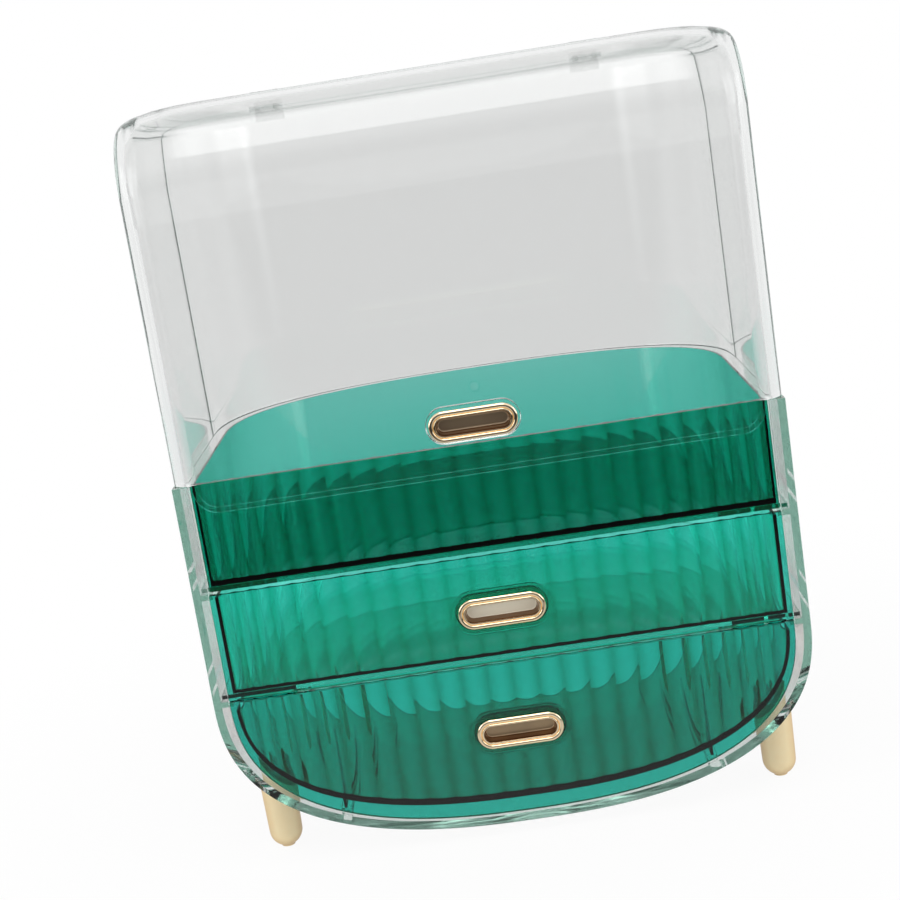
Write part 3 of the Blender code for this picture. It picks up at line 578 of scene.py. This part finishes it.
def tongue_outline(inset):
    radius = TONGUE_CORNER - inset
    half = LIP_HALF_OPENING - TONGUE_HALF_GAP - inset
    low = inset - TONGUE_DROP
    right = [(half, OVERRUN / 2)]
    for i in range(CORNER_STEPS + 1):
        angle = pi / 2 * i / CORNER_STEPS
        right.append((half - radius + radius * cos(angle), low + radius - radius * sin(angle)))
    return right + [(-x, z) for x, z in reversed(right)]


def make_lid():
    back = BOW_START - LID_END_GAP
    item = make_object("lid_shell", lid_solid(HALF_WIDTH, 0, HEAD_HEIGHT, BEND_RADIUS, FIT_GAP, back))
    hollow = lid_solid(HALF_WIDTH - CASE_WALL, FRONT_WALL, HEAD_HEIGHT - TOP_WALL, BEND_RADIUS - FRONT_WALL,
                       -OVERRUN, back + OVERRUN)
    combine(item, hollow, "DIFFERENCE")
    combine(item, prism_along_y(tongue_outline(0), 0, FRONT_WALL - TONGUE_STEP), "UNION")
    combine(item, prism_along_y(tongue_outline(TONGUE_EDGE), 0, FRONT_WALL), "UNION")
    add_handle_seat(item, HANDLE_RISES["lid_handle"], FRONT_WALL, LID_POCKET_RIM)
    cut_hinge_slots(item)
    soften(item, LID_EDGE)
    return item


def ring_disc(radius, wall, near, far):
    """Disc along the leaning back wall of the tray; near and far are measured from the wall's inner face."""
    rings = []
    for shift in (near, far):
        ring = []
        for across, rise in circle(radius, BOSS_STEPS):
            ring.append((across, wall + rise * TRAY_SLOPE_SHARE + shift, rise - RING_DROP))
        rings.append(ring)
    return loft(rings)


def make_tray():
    inner_near = TRAY_SET_BACK + TRAY_FRONT_THICKNESS
    shell = bowed_box(TRAY_HALF_WIDTH, TRAY_SET_BACK, BOW_START, (TRAY_FOOT_BACK, TRAY_RIM_BACK),
                      (-TRAY_BASE_DROP, 0))
    item = make_object("tray_shell", shell)
    half = LIP_HALF_OPENING - FIT_GAP
    combine(item, box((-half, TRAY_SET_BACK, -TRAY_PLATE_DROP), (half, inner_near, 0)), "UNION")
    lean = (TRAY_RIM_BACK - TRAY_FOOT_BACK) / TRAY_BASE_DROP
    backs = (TRAY_FOOT_BACK - TRAY_WALL, TRAY_RIM_BACK - TRAY_WALL + lean * OVERRUN)
    hollow = bowed_box(TRAY_HALF_WIDTH - TRAY_WALL, inner_near, BOW_START, backs,
                       (-TRAY_FLOOR_DROP, OVERRUN), flute_points(inner_near))
    combine(item, hollow, "DIFFERENCE")
    wall = TRAY_RIM_BACK - TRAY_WALL - RING_DROP * lean
    combine(item, ring_disc(RING_RADIUS, wall, -RING_PROUD, RING_BITE), "UNION")
    combine(item, ring_disc(RING_HOLE_RADIUS, wall, -RING_HOLE_REACH, 0), "DIFFERENCE")
    soften(item, FINE_EDGE, FLUTED_SHARP_ANGLE)
    return item


def make_middle_drawer():
    half = LIP_HALF_OPENING - FIT_GAP
    plate_top = -TRAY_PLATE_DROP - PLATE_GAP
    plate = box((-half, 0, -MIDDLE_PLATE_DROP), (half, PLATE_THICKNESS, plate_top))
    item = make_object("middle_drawer_shell", plate)
    low = -MIDDLE_FLOOR_DROP - MIDDLE_FLOOR_THICKNESS
    high = MIDDLE_BOX_TOP
    combine(item, bowed_box(DRAWER_HALF_WIDTH, PLATE_THICKNESS / 2, MIDDLE_BOW_START,
                            (MIDDLE_FOOT_BACK, MIDDLE_RIM_BACK), (low, high)), "UNION")
    inner = DRAWER_HALF_WIDTH - RIB_INSET
    outer = inner + RIB_PITCH
    ribs = []
    for x in (-outer, -inner, inner, outer):
        ribs.append(box((x - RIB_WIDTH / 2, MIDDLE_RIB_START, low - RIB_WIDTH),
                        (x + RIB_WIDTH / 2, MIDDLE_RIB_BACK, low + RIB_WIDTH / 2)))
    combine(item, together(ribs), "UNION")
    lean = (MIDDLE_RIM_BACK - MIDDLE_FOOT_BACK) / (high - low)
    backs = (MIDDLE_FOOT_BACK - BOX_WALL, MIDDLE_RIM_BACK - BOX_WALL + lean * OVERRUN)
    hollow = bowed_box(DRAWER_HALF_WIDTH - BOX_WALL, PLATE_THICKNESS, MIDDLE_BOW_START, backs,
                       (-MIDDLE_FLOOR_DROP, high + OVERRUN), flute_points(PLATE_THICKNESS))
    combine(item, hollow, "DIFFERENCE")
    add_pad(item, HANDLE_RISES["middle_handle"])
    add_handle_seat(item, HANDLE_RISES["middle_handle"], PLATE_THICKNESS, DRAWER_POCKET_RIM)
    soften(item, FINE_EDGE, FLUTED_SHARP_ANGLE)
    return item


def make_bottom_drawer():
    half = LIP_HALF_OPENING - FIT_GAP
    plate = bowl_outline(half, LIP_OPENING_DROP - FIT_GAP, 0)
    item = make_object("bottom_drawer_shell", prism_along_y(plate, 0, PLATE_THICKNESS))
    plate_top = -MIDDLE_PLATE_DROP - PLATE_GAP
    above = box((-HALF_WIDTH, -OVERRUN, plate_top), (HALF_WIDTH, PLATE_THICKNESS + OVERRUN, OVERRUN))
    combine(item, above, "DIFFERENCE")
    near = PLATE_THICKNESS / 2
    combine(item, tub(DRAWER_HALF_WIDTH, BOTTOM_DRAWER_DROP, near, BOTTOM_BACK, BOTTOM_BOX_TOP), "UNION")
    low = bowl_bottom(LIP_HALF_OPENING, LIP_OPENING_DROP, BASE_RAIL_PLACE) + BASE_RAIL_RISE + FIT_GAP
    high = bowl_bottom(DRAWER_HALF_WIDTH, BOTTOM_DRAWER_DROP, BASE_RAIL_PLACE) + BOTTOM_RIB_BITE
    ribs = []
    for x in (BASE_RAIL_PLACE, -BASE_RAIL_PLACE):
        ribs.append(box((x - RIB_WIDTH / 2, near, low), (x + RIB_WIDTH / 2, BOTTOM_RIB_BACK, high)))
    combine(item, together(ribs), "UNION")
    hollow = tub(DRAWER_HALF_WIDTH - BOX_WALL, BOTTOM_HOLLOW_DROP, PLATE_THICKNESS, BOTTOM_BACK - BOX_WALL,
                 BOTTOM_BOX_TOP + OVERRUN, flute_points(PLATE_THICKNESS))
    combine(item, hollow, "DIFFERENCE")
    add_pad(item, HANDLE_RISES["bottom_handle"])
    add_handle_seat(item, HANDLE_RISES["bottom_handle"], PLATE_THICKNESS, DRAWER_POCKET_RIM)
    soften(item, FINE_EDGE, FLUTED_SHARP_ANGLE)
    return item


def make_handle(node):
    item = make_object(node + "_cup", stadium_solid(HANDLE_SECTIONS, HANDLE_RISES[node]))
    soften(item, 0, HANDLE_SHARP_ANGLE)
    return item


def paint_cup_shade_and_reflection(item, node, wall, pan):
    """Painted shade on the inner wall of a pull and a painted reflection on its pan, each as another material
    on those faces.
    """
    item.data.materials.append(wall)
    item.data.materials.append(pan)
    spine = (HANDLE_LENGTH - HANDLE_HEIGHT) / 2
    # Wall faces get the painted shade, pan faces the painted reflection
    for face in item.data.polygons:
        place = face.center - ORIGIN
        reach = hypot(max(abs(place.x) - spine, 0), place.z - HANDLE_RISES[node])
        if HANDLE_HEIGHT / 2 - reach > CUP_WALL_INSET and place.y > CUP_WALL_START:
            face.material_index = CUP_REFLECTION_SLOT if place.y > CUP_PAN_START else CUP_SHADE_SLOT


def make_foot(node, x, y):
    """Peg with a round tip and a small flat to stand on, cut off by the casing's outside."""
    tip = FOOT_TIP_RADIUS
    profile = [(FOOT_RADIUS, RIM_Z - FOOT_TOP_DROP), (tip + FOOT_SHOULDER_WIDTH, tip + FOOT_SHOULDER_HEIGHT),
               (tip, tip)]
    for i in range(1, FOOT_TIP_STEPS):
        angle = pi / 2 * i / FOOT_TIP_STEPS
        if tip * cos(angle) > FOOT_FLAT_RADIUS:
            profile.append((tip * cos(angle), tip * (1 - sin(angle))))
    profile.append((FOOT_FLAT_RADIUS, 0))
    rings = [[(a, b, z) for a, b in circle(radius, FOOT_STEPS)] for radius, z in profile]
    item = make_object(node + "_peg", loft(rings), Vector((x, FRONT_Y + y, 0)))
    outside = bowl(HALF_WIDTH + FIT_GAP, CASE_DROP + FIT_GAP, -FIT_GAP, CASE_DEPTH + FIT_GAP, OVERRUN)
    combine(item, outside, "DIFFERENCE")
    soften(item, 0, FOOT_SHARP_ANGLE)
    return item


# Node helpers
RANGE_SOCKETS = ("From Min", "From Max", "To Min", "To Max")


def map_range(nodes, links, value, limits):
    """Map Range node fed by value, with two limits that it maps from and two that it maps to."""
    node = nodes.new("ShaderNodeMapRange")
    for socket, limit in zip(RANGE_SOCKETS, limits):
        node.inputs[socket].default_value = limit
    links.new(value, node.inputs["Value"])
    return node


def calculate(nodes, links, operation, first, second):
    """Output of a Math node fed by two sockets."""
    node = nodes.new("ShaderNodeMath")
    node.operation = operation
    links.new(first, node.inputs[0])
    links.new(second, node.inputs[1])
    return node.outputs[0]


# Materials
PLASTIC_IOR = 1.49
PLASTIC_ROUGHNESS = (0.0, 0.02)
PLASTIC_RIPPLE_DISTANCE = 0.0006
METAL_RIPPLE_STRENGTH = 0.05
METAL_RIPPLE_DISTANCE = 0.0003
RIPPLE_DETAIL = 3
DARK_STAIN_SHARE = 0.3
LIGHT_STAIN_SHARE = 0.7
# Facing share from which the painted rim shade starts
RIM_SHADE_START_SHARE = 0.25
GREEN_TINT = (0.97, 0.99, 0.98)


def base_material(name):
    material = bpy.data.materials.new(name)
    material.use_nodes = True
    nodes = material.node_tree.nodes
    return material, nodes, material.node_tree.links, nodes["Principled BSDF"]


def add_ripple(nodes, links, shader, scale, strength, distance, roughness):
    """Faint moulding ripple in the surface and a little change in gloss."""
    place = nodes.new("ShaderNodeTexCoord")
    noise = nodes.new("ShaderNodeTexNoise")
    noise.inputs["Scale"].default_value = scale
    noise.inputs["Detail"].default_value = RIPPLE_DETAIL
    links.new(place.outputs["Object"], noise.inputs["Vector"])
    bump = nodes.new("ShaderNodeBump")
    bump.inputs["Strength"].default_value = strength
    bump.inputs["Distance"].default_value = distance
    links.new(noise.outputs["Fac"], bump.inputs["Height"])
    links.new(bump.outputs["Normal"], shader.inputs["Normal"])
    gloss = map_range(nodes, links, noise.outputs["Fac"], (0, 1, *roughness))
    links.new(gloss.outputs["Result"], shader.inputs["Roughness"])
    return noise


def see_through(name, tint, passed, density, ripple_scale, ripple_strength):
    """Plastic whose walls let the passed colour through, and take the rest sooner at a higher density."""
    material, nodes, links, shader = base_material(name)
    shader.inputs["Base Color"].default_value = (*tint, 1)
    shader.inputs["Transmission Weight"].default_value = 1
    shader.inputs["IOR"].default_value = PLASTIC_IOR
    add_ripple(nodes, links, shader, ripple_scale, ripple_strength, PLASTIC_RIPPLE_DISTANCE,
               PLASTIC_ROUGHNESS)
    volume = nodes.new("ShaderNodeVolumeAbsorption")
    volume.inputs["Color"].default_value = (*passed, 1)
    volume.inputs["Density"].default_value = density
    links.new(volume.outputs["Volume"], nodes["Material Output"].inputs["Volume"])
    return material


def green_plastic(name, passed, density):
    return see_through(name, GREEN_TINT, passed, density, ripple_scale=18, ripple_strength=0.05)


def metal(name, light, dark, roughness, grain, metallic=1.0, rim=None):
    """Metal or metal paint with a fine cloudy grain, and painted shade at its rims if a rim colour is given:
    a darker colour where the surface turns from view.
    """
    material, nodes, links, shader = base_material(name)
    noise = add_ripple(nodes, links, shader, grain, METAL_RIPPLE_STRENGTH, METAL_RIPPLE_DISTANCE, roughness)
    ramp = nodes.new("ShaderNodeValToRGB")
    stains = ramp.color_ramp.elements
    for stain, position, colour in zip(stains, (DARK_STAIN_SHARE, LIGHT_STAIN_SHARE), (dark, light)):
        stain.position = position
        stain.color = (*colour, 1)
    links.new(noise.outputs["Fac"], ramp.inputs["Fac"])
    finish = ramp.outputs["Color"]
    if rim:
        # Painted shade: the colour turns to the darker rim colour where the surface faces away from view
        facing = nodes.new("ShaderNodeLayerWeight")
        edge = map_range(nodes, links, facing.outputs["Facing"], (RIM_SHADE_START_SHARE, 1, 0, 1))
        mix = nodes.new("ShaderNodeMixRGB")
        mix.inputs["Color2"].default_value = (*rim, 1)
        links.new(edge.outputs["Result"], mix.inputs["Fac"])
        links.new(finish, mix.inputs["Color1"])
        finish = mix.outputs["Color"]
    links.new(finish, shader.inputs["Base Color"])
    shader.inputs["Metallic"].default_value = metallic
    return material


CLEAR = see_through("clear plastic", tint=(0.873, 0.875, 0.873), passed=(0.3, 0.6, 0.5), density=3.0,
                    ripple_scale=14, ripple_strength=0.03)
TRAY_GREEN = green_plastic("tray green", passed=(0.0, 0.812, 0.732), density=1250)
MIDDLE_GREEN = green_plastic("middle green", passed=(0.0, 0.872, 0.80), density=900)
BOTTOM_GREEN = green_plastic("bottom green", passed=(0.0, 0.834, 0.782), density=1300)
HANDLE_GOLD = metal("polished gold", light=(1.0, 0.82, 0.57), dark=(0.96, 0.77, 0.51),
                    roughness=(0.06, 0.12), grain=60)
# Painted shade: a dark brown copy of the gold for the pull's inner wall, where the recess lies in shade
CUP_WALL_SHADE = metal("cup wall shade", light=(0.34, 0.22, 0.14), dark=(0.28, 0.17, 0.11),
                 roughness=(0.08, 0.14), grain=60)
# Painted reflections on the pans: dark taupe on the lid and bottom pulls and pale matte cream on the middle
# one, standing in for the darker or brighter floor that they mirror
CUP_PAN_REFLECTIONS = {
    "lid_handle": metal("lid pan reflection", light=(0.42, 0.32, 0.21), dark=(0.36, 0.27, 0.18),
                        roughness=(0.2, 0.3), grain=60, metallic=0.6),
    "middle_handle": metal("middle pan reflection", light=(1.0, 0.94, 0.76), dark=(1.0, 0.92, 0.73),
                           roughness=(0.4, 0.5), grain=60, metallic=0.0),
    "bottom_handle": metal("bottom pan reflection", light=(0.44, 0.32, 0.19), dark=(0.36, 0.26, 0.16),
                           roughness=(0.2, 0.3), grain=60, metallic=0.6),
}
# Feet: satin gold with painted shade at their rims
FOOT_GOLD = metal("satin gold rim shade", light=(1.0, 0.84, 0.53), dark=(1.0, 0.82, 0.50), roughness=(0.28, 0.36),
                  grain=220, metallic=0.4, rim=(0.72, 0.46, 0.18))
STEEL = metal("bright steel", light=(0.66, 0.66, 0.64), dark=(0.55, 0.55, 0.53),
              roughness=(0.2, 0.3), grain=400)


# Pieces
def dress(item, body, node, material):
    """A finer form that stands for a CAD node and rides on its body."""
    item.data.materials.clear()
    item.data.materials.append(material)
    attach(item, body)
    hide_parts(node)


def paint(node, material):
    """A CAD node that keeps its shape and gets a better material."""
    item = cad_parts[node]
    for slot in item.material_slots:
        slot.material = material


def make_pieces():
    dress(make_casing(), "casing", "lower_casing", CLEAR)
    dress(make_hood(), "casing", "rear_hood", CLEAR)
    dress(make_lid(), "lid", "lid", CLEAR)
    dress(make_tray(), "casing", "tray", TRAY_GREEN)
    dress(make_middle_drawer(), "middle_drawer", "middle_drawer", MIDDLE_GREEN)
    dress(make_bottom_drawer(), "bottom_drawer", "bottom_drawer", BOTTOM_GREEN)
    for handle, body in HANDLE_BODIES.items():
        cup = make_handle(handle)
        dress(cup, body, handle, HANDLE_GOLD)
        # Painted shade on the inner wall and a painted reflection on the pan
        paint_cup_shade_and_reflection(cup, handle, CUP_WALL_SHADE, CUP_PAN_REFLECTIONS[handle])
    for place, (x, y) in FOOT_PLACES.items():
        dress(make_foot(f"foot_{place}", x, y), "casing", f"foot_{place}", FOOT_GOLD)
        paint(f"foot_screw_{place}", STEEL)
    for side in ("left", "right"):
        paint(f"lid_hinge_leaf_{side}", CLEAR)
        paint(f"hood_hinge_leaf_{side}", CLEAR)
        paint(f"hinge_pin_{side}", CLEAR)
        for end in ("inner", "outer"):
            paint(f"hinge_rivet_{side}_{end}", CLEAR)
    for node in ("shelf_upper", "shelf_lower"):
        paint(node, CLEAR)


# Floor. Its mirrored tone goes from dark in front to white at the back: two depths, then two tones. Its share
# of glow, which leaves a faint shadow, goes by the distance from the middle: two distances, then two shares.
FLOOR_REACH = 6
FLOOR_DROP = 0.0002
FLOOR_SEGMENTS = 2
FLOOR_COLOUR = (0.9, 0.9, 0.9, 1)
FLOOR_ROUGHNESS = 0.7
FLOOR_TONES = (-0.7, 0.1, 0.04, 1)
FLOOR_FADE = (0.16, 0.45, 0.94, 1)

# White room: level of its fill light, then height shares and tones of its front wall, and the range, from the
# side to the front, over which that wall comes in
WHITE = (1, 1, 1, 1)
FILL_LEVEL = 0.6
ROOM_TONES = ((0.42, 0.9), (0.50, 0.25), (0.56, 0.12), (0.66, 0.30), (0.78, 1.0))
ROOM_FRONT = (0.3, -0.3, 0, 1)

# Rays with one or two mirror bounces take the dark tones: a Compare node picks them by middle and spread
MIRROR_BOUNCES = 1.5
MIRROR_BOUNCE_SPREAD = 0.6
LIGHT_BOUNCES = 72

# Lights: sizes in metres, power in watts, and the share of a softbox over which its edge fades
TOP_SOFTBOX = {"place": (0, -0.75, 1.75), "target": (0, -0.08, 0.36), "size": (1.02, 1.5),
               "power": 10.5, "edge_share": 0.1}
SIDE_STRIP = {"place": (1.35, -0.8, 0.6), "target": (0, 0, 0.25), "size": (0.30, 1.6),
              "power": 2.4, "edge_share": 0.4}
SIDE_SOFTBOX = {"place": (1.5, -0.5, 0.7), "target": (0, 0, 0.2), "size": (1.2, 1.2),
                "power": 10, "edge_share": 0.3}

# Camera: angles in degrees, place from the middle of the rim's front edge in metres, lens and film in mm
CAMERA_PITCH = 12.18
CAMERA_ROLL = 8.98
CAMERA_AZIMUTH = 1.99
CAMERA_PLACE = Vector((0.01481, -0.80194, 0.17231))
CAMERA_LENS = 68
FILM_WIDTH = 36


def whole_light(nodes, links, tone):
    """Light paths: one for rays that see the white studio, and the tone for rays that were mirrored."""
    paths = nodes.new("ShaderNodeLightPath")
    seen = paths.outputs["Is Camera Ray"]
    for kind in ("Is Transmission Ray", "Is Glossy Ray"):
        seen = calculate(nodes, links, "MAXIMUM", seen, paths.outputs[kind])
    mirrored = nodes.new("ShaderNodeMath")
    mirrored.operation = "COMPARE"
    mirrored.inputs[1].default_value = MIRROR_BOUNCES
    mirrored.inputs[2].default_value = MIRROR_BOUNCE_SPREAD
    links.new(paths.outputs["Glossy Depth"], mirrored.inputs[0])
    level = map_range(nodes, links, mirrored.outputs[0], (0, 1, 1, 1))
    links.new(tone, level.inputs["To Max"])
    return seen, level.outputs["Result"]


def make_floor():
    bm = bmesh.new()
    bmesh.ops.create_grid(bm, x_segments=FLOOR_SEGMENTS, y_segments=FLOOR_SEGMENTS, size=FLOOR_REACH)
    item = make_object("floor", bm, Vector((0, 0, -FLOOR_DROP)))
    material, nodes, links, shader = base_material("white floor")
    shader.inputs["Base Color"].default_value = FLOOR_COLOUR
    shader.inputs["Roughness"].default_value = FLOOR_ROUGHNESS
    place = nodes.new("ShaderNodeTexCoord")
    split = nodes.new("ShaderNodeSeparateXYZ")
    links.new(place.outputs["Object"], split.inputs["Vector"])
    front = map_range(nodes, links, split.outputs["Y"], FLOOR_TONES)
    seen, tone = whole_light(nodes, links, front.outputs["Result"])
    reach = nodes.new("ShaderNodeVectorMath")
    reach.operation = "LENGTH"
    links.new(place.outputs["Object"], reach.inputs[0])
    fade = map_range(nodes, links, reach.outputs["Value"], FLOOR_FADE)
    share = calculate(nodes, links, "MULTIPLY", seen, fade.outputs["Result"])
    glow = nodes.new("ShaderNodeEmission")
    glow.inputs["Color"].default_value = WHITE
    links.new(tone, glow.inputs["Strength"])
    mix = nodes.new("ShaderNodeMixShader")
    links.new(share, mix.inputs["Fac"])
    links.new(shader.outputs["BSDF"], mix.inputs[1])
    links.new(glow.outputs["Emission"], mix.inputs[2])
    links.new(mix.outputs["Shader"], nodes["Material Output"].inputs["Surface"])
    item.data.materials.append(material)


def make_world():
    """White room that reads darker on the photographer's side, in reflections only."""
    world = bpy.data.worlds.new("studio")
    bpy.context.scene.world = world
    world.use_nodes = True
    nodes = world.node_tree.nodes
    links = world.node_tree.links
    back = nodes["Background"]
    back.inputs["Color"].default_value = WHITE
    place = nodes.new("ShaderNodeTexCoord")
    split = nodes.new("ShaderNodeSeparateXYZ")
    links.new(place.outputs["Generated"], split.inputs["Vector"])
    height = map_range(nodes, links, split.outputs["Z"], (-1, 1, 0, 1))
    walls = nodes.new("ShaderNodeValToRGB")
    tones = walls.color_ramp.elements
    for end in tones:
        end.color = WHITE
    for position, value in ROOM_TONES:
        tones.new(position).color = (value, value, value, 1)
    links.new(height.outputs["Result"], walls.inputs["Fac"])
    front = map_range(nodes, links, split.outputs["Y"], ROOM_FRONT)
    wall = map_range(nodes, links, front.outputs["Result"], (0, 1, 1, 1))
    links.new(walls.outputs["Color"], wall.inputs["To Max"])
    seen, tone = whole_light(nodes, links, wall.outputs["Result"])
    fill = map_range(nodes, links, seen, (0, 1, FILL_LEVEL, 1))
    strength = calculate(nodes, links, "MULTIPLY", fill.outputs["Result"], tone)
    links.new(strength, back.inputs["Strength"])


def add_area(name, place, target, size, power, edge_share):
    """Softbox whose glow fades towards its edges."""
    data = bpy.data.lights.new(name, "AREA")
    data.shape = "RECTANGLE"
    data.size, data.size_y = size
    data.energy = power
    data.use_nodes = True
    nodes = data.node_tree.nodes
    links = data.node_tree.links
    surface = nodes.new("ShaderNodeNewGeometry")
    split = nodes.new("ShaderNodeSeparateXYZ")
    links.new(surface.outputs["Parametric"], split.inputs["Vector"])
    shares = []
    for axis in ("X", "Y"):
        for low, high in ((0, edge_share), (1, 1 - edge_share)):
            fade = map_range(nodes, links, split.outputs[axis], (low, high, 0, 1))
            fade.interpolation_type = "SMOOTHSTEP"
            shares.append(fade.outputs["Result"])
    glow = shares[0]
    for share in shares[1:]:
        glow = calculate(nodes, links, "MULTIPLY", glow, share)
    links.new(glow, nodes["Emission"].inputs["Strength"])
    item = bpy.data.objects.new(name, data)
    item.location = place
    item.rotation_euler = (Vector(target) - Vector(place)).to_track_quat("-Z", "Y").to_euler()
    bpy.context.scene.collection.objects.link(item)


def make_lights():
    add_area("top softbox", **TOP_SOFTBOX)
    for kind, light in (("strip", SIDE_STRIP), ("softbox", SIDE_SOFTBOX)):
        across, along, up = light["place"]
        for side, sign in (("left", -1), ("right", 1)):
            add_area(f"{side} {kind}", **{**light, "place": (sign * across, along, up)})


def make_camera():
    """Camera fitted to the photograph, which is rolled."""
    pitch = radians(CAMERA_PITCH)
    roll = radians(CAMERA_ROLL)
    azimuth = radians(CAMERA_AZIMUTH)
    forward = Vector((-sin(azimuth) * cos(pitch), cos(azimuth) * cos(pitch), -sin(pitch)))
    right = Vector((cos(azimuth), sin(azimuth), 0))
    up = right.cross(forward)
    axis_x = right * cos(roll) - up * sin(roll)
    axis_y = right * sin(roll) + up * cos(roll)
    matrix = Matrix((axis_x, axis_y, -forward)).transposed().to_4x4()
    matrix.translation = CAMERA_PLACE + ORIGIN
    data = bpy.data.cameras.new("camera")
    data.lens = CAMERA_LENS
    data.sensor_width = FILM_WIDTH
    data.sensor_fit = "HORIZONTAL"
    item = bpy.data.objects.new("camera", data)
    item.matrix_world = matrix
    bpy.context.scene.collection.objects.link(item)
    bpy.context.scene.camera = item


make_pieces()
make_floor()
make_world()
make_lights()
make_camera()
scene = bpy.context.scene
scene.view_settings.view_transform = "Standard"
scene.cycles.max_bounces = LIGHT_BOUNCES
scene.cycles.transmission_bounces = LIGHT_BOUNCES
scene.cycles.glossy_bounces = LIGHT_BOUNCES
